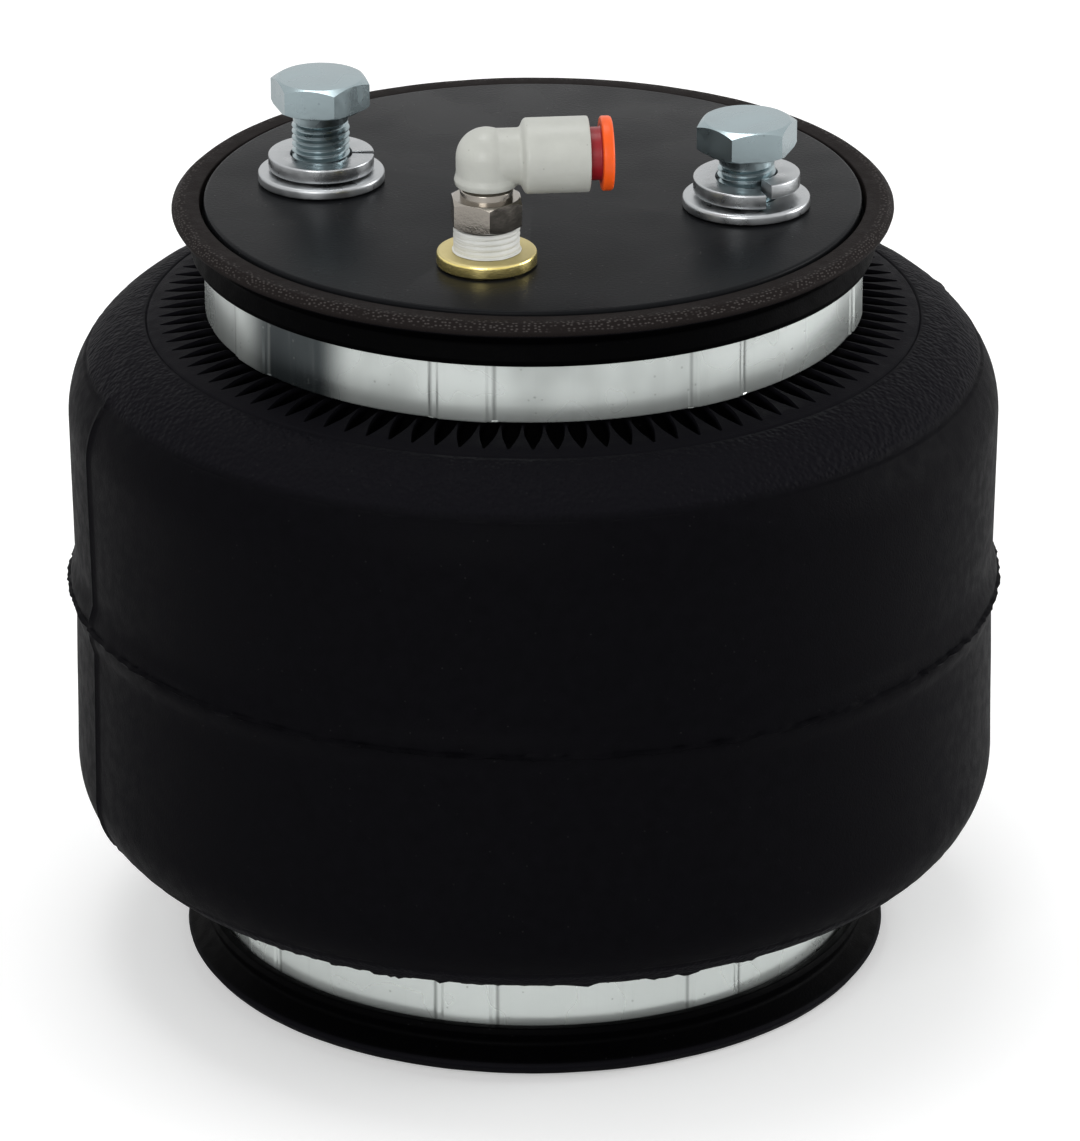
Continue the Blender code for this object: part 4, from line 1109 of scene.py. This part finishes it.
class SPRING_OT_fasteners(bpy.types.Operator):
    """Models the two threaded bolts with their flat and split washers"""

    bl_idname = "spring.fasteners"
    bl_label = "Bolts and Washers"

    def execute(self, context):
        sizes = context.scene.spring_fasteners
        self.make_bolts(sizes)
        self.make_flat_washers()
        self.make_lock_washers(sizes)
        return {"FINISHED"}

    def make_bolts(self, sizes):
        face = 0.0004
        corner = corner_radius(sizes.flats)
        circle = sizes.flats / 2 - 0.00030
        slope = tan(radians(30.0))
        wide = corner + 0.0002
        bolt = hex_bar("bolt", sizes.flats, face, sizes.head)
        crown = [
            (0, face),
            (corner - 0.0006, face),
            (wide, face + 0.0005),
            (wide, sizes.head - (wide - circle) * slope),
            (circle, sizes.head, 0.0003),
            (0, sizes.head),
        ]
        combine(bolt, lathe("crown", crown, 120, closed=False), "INTERSECT")
        plain, shank = 0.0021, 0.0045
        collar = [
            (0, face + 0.0003),
            (sizes.flats / 2 - 0.0003, face + 0.0003),
            (sizes.flats / 2 - 0.0003, 0, 0.0001),
            (shank, 0, 0.0003),
            (shank, -plain, 0.0001),
            (0, -plain),
        ]
        combine(bolt, lathe("collar", collar, 80, closed=False), "UNION")
        thread = threaded_bar("thread", sizes.crest, sizes.root, sizes.pitch, -sizes.length, -plain / 2)
        reach = sizes.crest + 0.0002
        envelope = [
            (0, -sizes.length),
            (sizes.root - 0.0001, -sizes.length),
            (reach, -sizes.length + 0.0010),
            (reach, -plain - 0.0010),
            (sizes.root, -plain),
            (sizes.root, -plain / 2),
            (0, -plain / 2),
        ]
        combine(thread, lathe("envelope", envelope, 80, closed=False), "INTERSECT")
        combine(bolt, thread, "UNION")
        turns = {"left": radians(-17.5), "right": radians(6.5)}
        for side, axis in BOLT_AXES.items():
            piece = twin(bolt, f"{side}_bolt_threaded")
            under_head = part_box(f"bolt_{side}")[1].z - sizes.head
            settle(piece, (*axis, under_head), turns[side] - radians(60.0))
            shade(piece, finishes()["blue_zinc_plate"], 25.0)
            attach(piece, f"{side}_bolt")
            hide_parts(f"bolt_{side}")
        bpy.data.objects.remove(bolt, do_unlink=True)

    def make_flat_washers(self):
        low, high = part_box("flat_washer_left")
        radius = (high.y - low.y) / 2
        thick = high.z - low.z
        bore = 0.0052
        corners = [
            (bore, thick / 2),
            (bore, 0, 0.0001),
            (radius, 0, 0.0002),
            (radius, thick, 0.0006),
            (bore, thick, 0.0003),
            (bore, thick / 2 + 0.0001),
        ]
        first = lathe("washer", corners, 96)
        for side, axis in BOLT_AXES.items():
            piece = twin(first, f"{side}_flat_washer_stamped")
            settle(piece, (*axis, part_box(f"flat_washer_{side}")[0].z), radians(30.0))
            shade(piece, finishes()["washer_zinc"])
            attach(piece, "top")
            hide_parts(f"flat_washer_{side}")
        bpy.data.objects.remove(first, do_unlink=True)

    def make_lock_washers(self, sizes):
        springs = {"left": 0.0003, "right": sizes.spring_right}
        slits = {"left": radians(-5.0), "right": radians(-72.0)}
        outer, inner, thick = 0.0086, 0.0050, 0.0024
        gaps = {"left": 0.0006, "right": 0.0010}
        for side, axis in BOLT_AXES.items():
            spring = springs[side]
            half = gaps[side] / 2 / outer
            corners = [
                (inner, spring + thick / 2),
                (inner, spring, 0.0002),
                (outer, spring, 0.0003),
                (outer, spring + thick, 0.0003),
                (inner, spring + thick, 0.0002),
                (inner, spring + thick / 2 + 0.0001),
            ]
            piece = draw(f"{side}_split_washer", rounded(corners, 3), closed=True)
            only(piece)
            coil = piece.modifiers.new("Coil", "SCREW")
            coil.angle = tau - 2 * half
            coil.screw_offset = -spring
            coil.steps = coil.render_steps = 96
            bpy.ops.object.modifier_apply(modifier=coil.name)
            edit(piece)
            bpy.ops.mesh.select_all(action="SELECT")
            bpy.ops.mesh.fill_holes(sides=0)
            close_up()
            bpy.ops.object.mode_set(mode="OBJECT")
            settle(piece, (*axis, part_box(f"lock_washer_{side}")[0].z), slits[side] + half)
            shade(piece, finishes()["washer_zinc"])
            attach(piece, "top")
            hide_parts(f"lock_washer_{side}")


# Air port and elbow


class SPRING_OT_fitting(bpy.types.Operator):
    """Models the brass bushing, the threaded stud with its sealant, the elbow and its collar"""

    bl_idname = "spring.fitting"
    bl_label = "Air Fitting"

    def execute(self, context):
        sizes = context.scene.spring_fitting
        port = (*PORT_AXIS, TOP)
        bushing = self.make_bushing(sizes)
        settle(bushing, port)
        shade(bushing, finishes()["turned_brass"])
        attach(bushing, "top")
        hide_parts("port_bushing")
        stud = self.make_stud(sizes)
        settle(stud, port)
        shade(stud, finishes()["nickel_plate"])
        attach(stud, "top")
        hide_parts("fitting_stud")
        sealant = self.make_sealant()
        settle(sealant, port)
        shade(sealant, finishes()["thread_sealant"], 60.0)
        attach(sealant, "top")
        elbow = self.make_elbow(sizes)
        settle(elbow, ARM_PLACE)
        shade(elbow, finishes()["grey_resin_moulding"], 60.0)
        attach(elbow, "elbow")
        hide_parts("elbow_body")
        collar = self.make_collar(sizes)
        settle(collar, ARM_PLACE)
        shade(collar, finishes()["orange_collar"])
        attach(collar, "collar")
        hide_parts("release_collar")
        kept = {
            "collet": "stainless_sheet",
            "collet_guide": "guide_brass",
            "tube_seal": "seal_rubber_finish",
            "swivel_o_ring": "seal_rubber_finish",
        }
        for node, finish in kept.items():
            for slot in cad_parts[node].material_slots:
                slot.material = finishes()[finish]
        return {"FINISHED"}

    def make_bushing(self, sizes):
        bore, mouth, head = 0.0026, 0.0053, 0.0024
        thread_end = -0.0061
        corners = [
            (bore, -PORT_LENGTH),
            (PORT_BODY_RADIUS, -PORT_LENGTH, 0.0003),
            (PORT_BODY_RADIUS, GAP),
            (sizes.bushing, GAP, 0.0001),
            (sizes.bushing, head, 0.0006),
            (mouth, head, 0.0001),
            (0.0050, thread_end),
            (bore, thread_end),
        ]
        return lathe("brass_bushing", corners, 96)

    def make_stud(self, sizes):
        bore, neck, groove = 0.0016, 0.0042, 0.0025
        corners = [
            (bore, -0.0055),
            (0.0042, -0.0055),
            (0.0047, -0.0050),
            (0.0049, 0.0024),
            (0.00465, 0.0026),
            (0.00465, 0.0063),
            (0.0040, 0.0067),
            (neck, 0.0085),
            (neck, 0.0113),
            (neck, 0.0126, 0.0003),
            (neck - 0.0005, 0.0130, 0.0001),
            (0.0033, 0.0130),
            (0.0033, 0.0143),
            (0.0037, 0.0146),
            (0.0037, 0.0152),
            (groove, 0.0152),
            (groove, 0.0167),
            (0.0037, 0.0167),
            (0.0037, 0.0169),
            (0.0033, 0.0172),
            (bore, 0.0172),
        ]
        stud = lathe("plated_stud", corners, 80)
        low, high = 0.0067, 0.0113
        nut = hex_bar("nut", sizes.hex_flats, low, high, radians(30.0))
        corner = corner_radius(sizes.hex_flats)
        circle = sizes.hex_flats / 2 - 0.0001
        drop = (corner - circle) * tan(radians(32.0))
        wide = corner + 0.0001
        crown = [
            (0, low),
            (circle, low, 0.0002),
            (wide, low + drop),
            (wide, high - drop),
            (circle, high, 0.0002),
            (0, high),
        ]
        combine(nut, lathe("crown", crown, 96, closed=False), "INTERSECT")
        hollow = [(0, low - 0.001), (neck - GAP, low - 0.001), (neck - GAP, high + 0.001), (0, high + 0.001)]
        combine(nut, lathe("hollow", hollow, 64, closed=False), "DIFFERENCE")
        combine(stud, nut, "UNION")
        return stud

    def make_sealant(self):
        """White sealant that fills most of the thread and leaves its crests as soft ribs."""
        inner, valley, crest = 0.00475, 0.00494, 0.00526
        low, high = 0.0026, 0.0064
        ribs = 4
        pitch = (high - low) / ribs
        corners = [(inner, low - 0.00015), (0.00550, low - 0.00015), (0.00538, low, 0.0001)]
        for i in range(ribs):
            start = low + i * pitch
            corners += [
                (valley, start + pitch * 0.10, 0.0002),
                (crest, start + pitch * 0.35, 0.0002),
                (crest, start + pitch * 0.70, 0.0002),
            ]
        corners += [(valley, high, 0.0001), (inner, high)]
        sealant = lathe("sealant_coat", corners, 120, ease=3)
        edit(sealant)

        def in_valley(place, reach):
            """On the side that is filled more, and between two crests."""
            return place.x < reach and valley - 1e-5 < hypot(place.x, place.y) < crest - 0.00008

        for reach in (-0.0005, -0.0020, -0.0035):
            pick(sealant, lambda place: in_valley(place, reach))
            bpy.ops.transform.resize(value=(1.015, 1.015, 1.0), center_override=(0, 0, low))
        bpy.ops.object.mode_set(mode="OBJECT")
        outer = [v.index for v in sealant.data.vertices if hypot(v.co.x, v.co.y) > valley - 1e-5]
        roughen(sealant, "smears", outer, 0.0022, 0.00016)
        return sealant

    def make_elbow(self, sizes):
        """Stem, rounded corner, arm and barrel, joined and smoothed as one moulding."""
        stem_low = TOP + 0.0133 - ARM_HEIGHT
        stem = sizes.stem
        corners = [
            (0, stem_low),
            (stem + 0.0001, stem_low, 0.0003),
            (stem + 0.0003, stem_low + 0.0009, 0.0004),
            (stem, stem_low + 0.0019, 0.0006),
            (stem, 0.0),
        ]
        dome = 10
        for i in range(1, dome):
            angle = pi / 2 * i / dome
            corners.append((stem * cos(angle), stem * sin(angle)))
        corners.append((0, stem))
        elbow = lathe("elbow_moulding", corners, 96, closed=False)
        barrel, neck, end = sizes.barrel, 0.0045, 0.0161
        arm = [
            (0, 0),
            (neck, 0),
            (neck, 0.0053, 0.0006),
            (barrel, 0.0060, 0.0008),
            (barrel, end, 0.0003),
            (0, end),
        ]
        bar = lathe("arm", arm, 96, closed=False, ease=6)
        lay_along_x(bar)
        combine(elbow, bar, "UNION")
        mouth, inside = 0.0036, 0.0040
        socket = [
            (0, stem_low - 0.0006),
            (mouth, stem_low - 0.0006),
            (mouth, stem_low + 0.0007),
            (inside, stem_low + 0.0007),
            (inside, -GAP),
            (0, -GAP),
        ]
        combine(elbow, lathe("socket", socket, 64, closed=False), "DIFFERENCE")
        air, tube, seat = 0.0022, 0.0033, 0.0053
        tube_stop, seat_start = 0.0064, 0.0070
        passage = [
            (0, 0),
            (air, 0),
            (air, tube_stop),
            (tube, tube_stop),
            (tube, seat_start),
            (seat, seat_start),
            (seat, end + GAP),
            (0, end + GAP),
        ]
        bore = lathe("passage", passage, 96, closed=False)
        lay_along_x(bore)
        combine(elbow, bore, "DIFFERENCE")
        only(elbow)
        elbow.data.remesh_voxel_size = sizes.voxel
        elbow.data.remesh_voxel_adaptivity = 0.0
        bpy.ops.object.voxel_remesh()
        soften = elbow.modifiers.new("Soften", "SMOOTH")
        soften.factor = 0.5
        soften.iterations = 5
        bpy.ops.object.modifier_apply(modifier=soften.name)
        return elbow

    def make_collar(self, sizes):
        bore, neck = 0.0033, 0.0042
        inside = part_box("release_collar")[0].x - ARM_PLACE.x
        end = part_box("release_collar")[1].x - ARM_PLACE.x
        flange = end - 0.0018
        rim = sizes.barrel - 0.0001
        corners = [
            (bore, inside + 0.0010),
            (bore, inside, 0.0001),
            (neck, inside, 0.0002),
            (neck, flange, 0.0003),
            (rim, flange, 0.0004),
            (rim, end, 0.0006),
            (bore, end, 0.0006),
            (bore, inside + 0.0012),
        ]
        collar = lathe("collar_moulding", corners, 96)
        lay_along_x(collar)
        return collar


# Stage


def add_lamp(name, place, aim, size, power):
    direction = Vector(aim) - Vector(place)
    clear_selection()
    bpy.ops.object.light_add(
        type="AREA", location=place, rotation=direction.to_track_quat("-Z", "Y").to_euler()
    )
    lamp = bpy.context.object
    lamp.name = name
    lamp.data.shape = "DISK"
    lamp.data.size = size
    lamp.data.energy = power


class SPRING_OT_stage(bpy.types.Operator):
    """Sets up the pale floor, the soft lamps, the white surroundings and the camera"""

    bl_idname = "spring.stage"
    bl_label = "Stage"

    def execute(self, context):
        settings = context.scene.spring_stage
        clear_selection()
        bpy.ops.mesh.primitive_plane_add(size=8.0, location=(0, 0, BOTTOM - 0.0001))
        floor = context.object
        floor.name = "studio_floor"
        floor.data.materials.append(self.floor_paint(settings))
        add_lamp("key_lamp", (-0.40, -1.05, 0.52), (0, 0, 0.07), 0.6, 4.6)
        add_lamp("side_lamp", (1.00, 0.05, 0.26), (0, 0, 0.07), 0.5, 4.4)
        add_lamp("top_lamp", (-0.10, 0.20, 1.25), (0, 0, 0.10), 0.6, 4.2)
        self.make_world(context)
        self.add_camera(context, settings)
        context.scene.view_settings.view_transform = "Standard"
        return {"FINISHED"}

    def floor_paint(self, settings):
        """Pale paint that the camera sees a little lighter, so that it runs out to white round the shadow."""
        paint, wires, shader = new_finish("floor_paint", 0.9, specular=0.1)
        shader.inputs["Base Color"].default_value = tone(settings.floor_colour)
        glow = wires.add("ShaderNodeEmission", {"Color": (1.0, 1.0, 1.0, 1.0), "Strength": 0.30})
        lighter = wires.add("ShaderNodeAddShader", {0: shader.outputs[0], 1: glow.outputs[0]})
        path = wires.add("ShaderNodeLightPath").outputs["Is Camera Ray"]
        seen = wires.add("ShaderNodeMixShader", {0: path, 1: shader.outputs[0], 2: lighter.outputs[0]})
        wires.tree.links.new(seen.outputs[0], wires.tree.nodes["Material Output"].inputs["Surface"])
        return paint

    def make_world(self, context):
        world = bpy.data.worlds.new("studio_white")
        context.scene.world = world
        world.use_nodes = True
        tree = world.node_tree
        wires = Wires(tree)
        lit = tree.nodes["Background"]
        lit.inputs["Color"].default_value = (1.0, 1.0, 1.0, 1.0)
        lit.inputs["Strength"].default_value = 0.55
        seen = wires.add("ShaderNodeBackground", {"Color": (1.0, 1.0, 1.0, 1.0), "Strength": 1.0})
        path = wires.add("ShaderNodeLightPath").outputs
        clear = wires.math("MAXIMUM", path["Is Camera Ray"], path["Is Glossy Ray"])
        clear = wires.math("MAXIMUM", clear, path["Is Transmission Ray"])
        share = wires.add("ShaderNodeMixShader", {0: clear, 1: lit.outputs[0], 2: seen.outputs[0]})
        tree.links.new(share.outputs[0], tree.nodes["World Output"].inputs[0])

    def add_camera(self, context, settings):
        """A long lens from 23 degrees above, turned a little off the middle as the photograph is."""
        azimuth, pitch, yaw, roll = radians(-95.0), 0.4077, -0.0014, -0.0025
        place = (settings.distance * cos(azimuth), settings.distance * sin(azimuth), settings.height)
        clear_selection()
        facing = Matrix.Rotation(azimuth + pi / 2 + yaw, 3, "Z") @ Matrix.Rotation(pi / 2 - pitch, 3, "X")
        turned = (facing @ Matrix.Rotation(roll, 3, "Z")).to_euler()
        bpy.ops.object.camera_add(location=place, rotation=turned)
        camera = context.object
        camera.name = "photo_camera"
        camera.data.lens = settings.lens
        camera.data.sensor_width = 36.0
        camera.data.shift_x = -3.0 / 1141.0
        camera.data.clip_end = 20.0
        context.scene.camera = camera


class SPRING_PT_panel(bpy.types.Panel):
    """Buttons that make each group of pieces"""

    bl_idname = "SPRING_PT_panel"
    bl_label = "Air Spring"
    bl_space_type = "VIEW_3D"
    bl_region_type = "UI"
    bl_category = "Air Spring"

    def draw(self, context):
        for operator in OPERATORS:
            self.layout.operator(operator.bl_idname)
        for name in SETTINGS:
            box = self.layout.box()
            group = getattr(context.scene, name)
            for label in group.bl_rna.properties.keys():
                if label not in ("rna_type", "name"):
                    box.prop(group, label)


OPERATORS = (
    SPRING_OT_sleeve,
    SPRING_OT_caps,
    SPRING_OT_rings,
    SPRING_OT_fasteners,
    SPRING_OT_fitting,
    SPRING_OT_stage,
)
SETTINGS = {
    "spring_sleeve": SleeveSizes,
    "spring_caps": CapSizes,
    "spring_rings": RingSizes,
    "spring_fasteners": FastenerSizes,
    "spring_fitting": FittingSizes,
    "spring_stage": StageSettings,
}


def register():
    for kind in (*SETTINGS.values(), *OPERATORS, SPRING_PT_panel):
        bpy.utils.register_class(kind)
    for name, kind in SETTINGS.items():
        setattr(bpy.types.Scene, name, PointerProperty(type=kind))


def unregister():
    for name in SETTINGS:
        delattr(bpy.types.Scene, name)
    for kind in reversed((*SETTINGS.values(), *OPERATORS, SPRING_PT_panel)):
        bpy.utils.unregister_class(kind)


def main():
    register()
    bpy.ops.spring.stage()
    bpy.ops.spring.sleeve()
    bpy.ops.spring.caps()
    bpy.ops.spring.rings()
    bpy.ops.spring.fasteners()
    bpy.ops.spring.fitting()
    clear_selection()


if __name__ == "__main__":
    main()
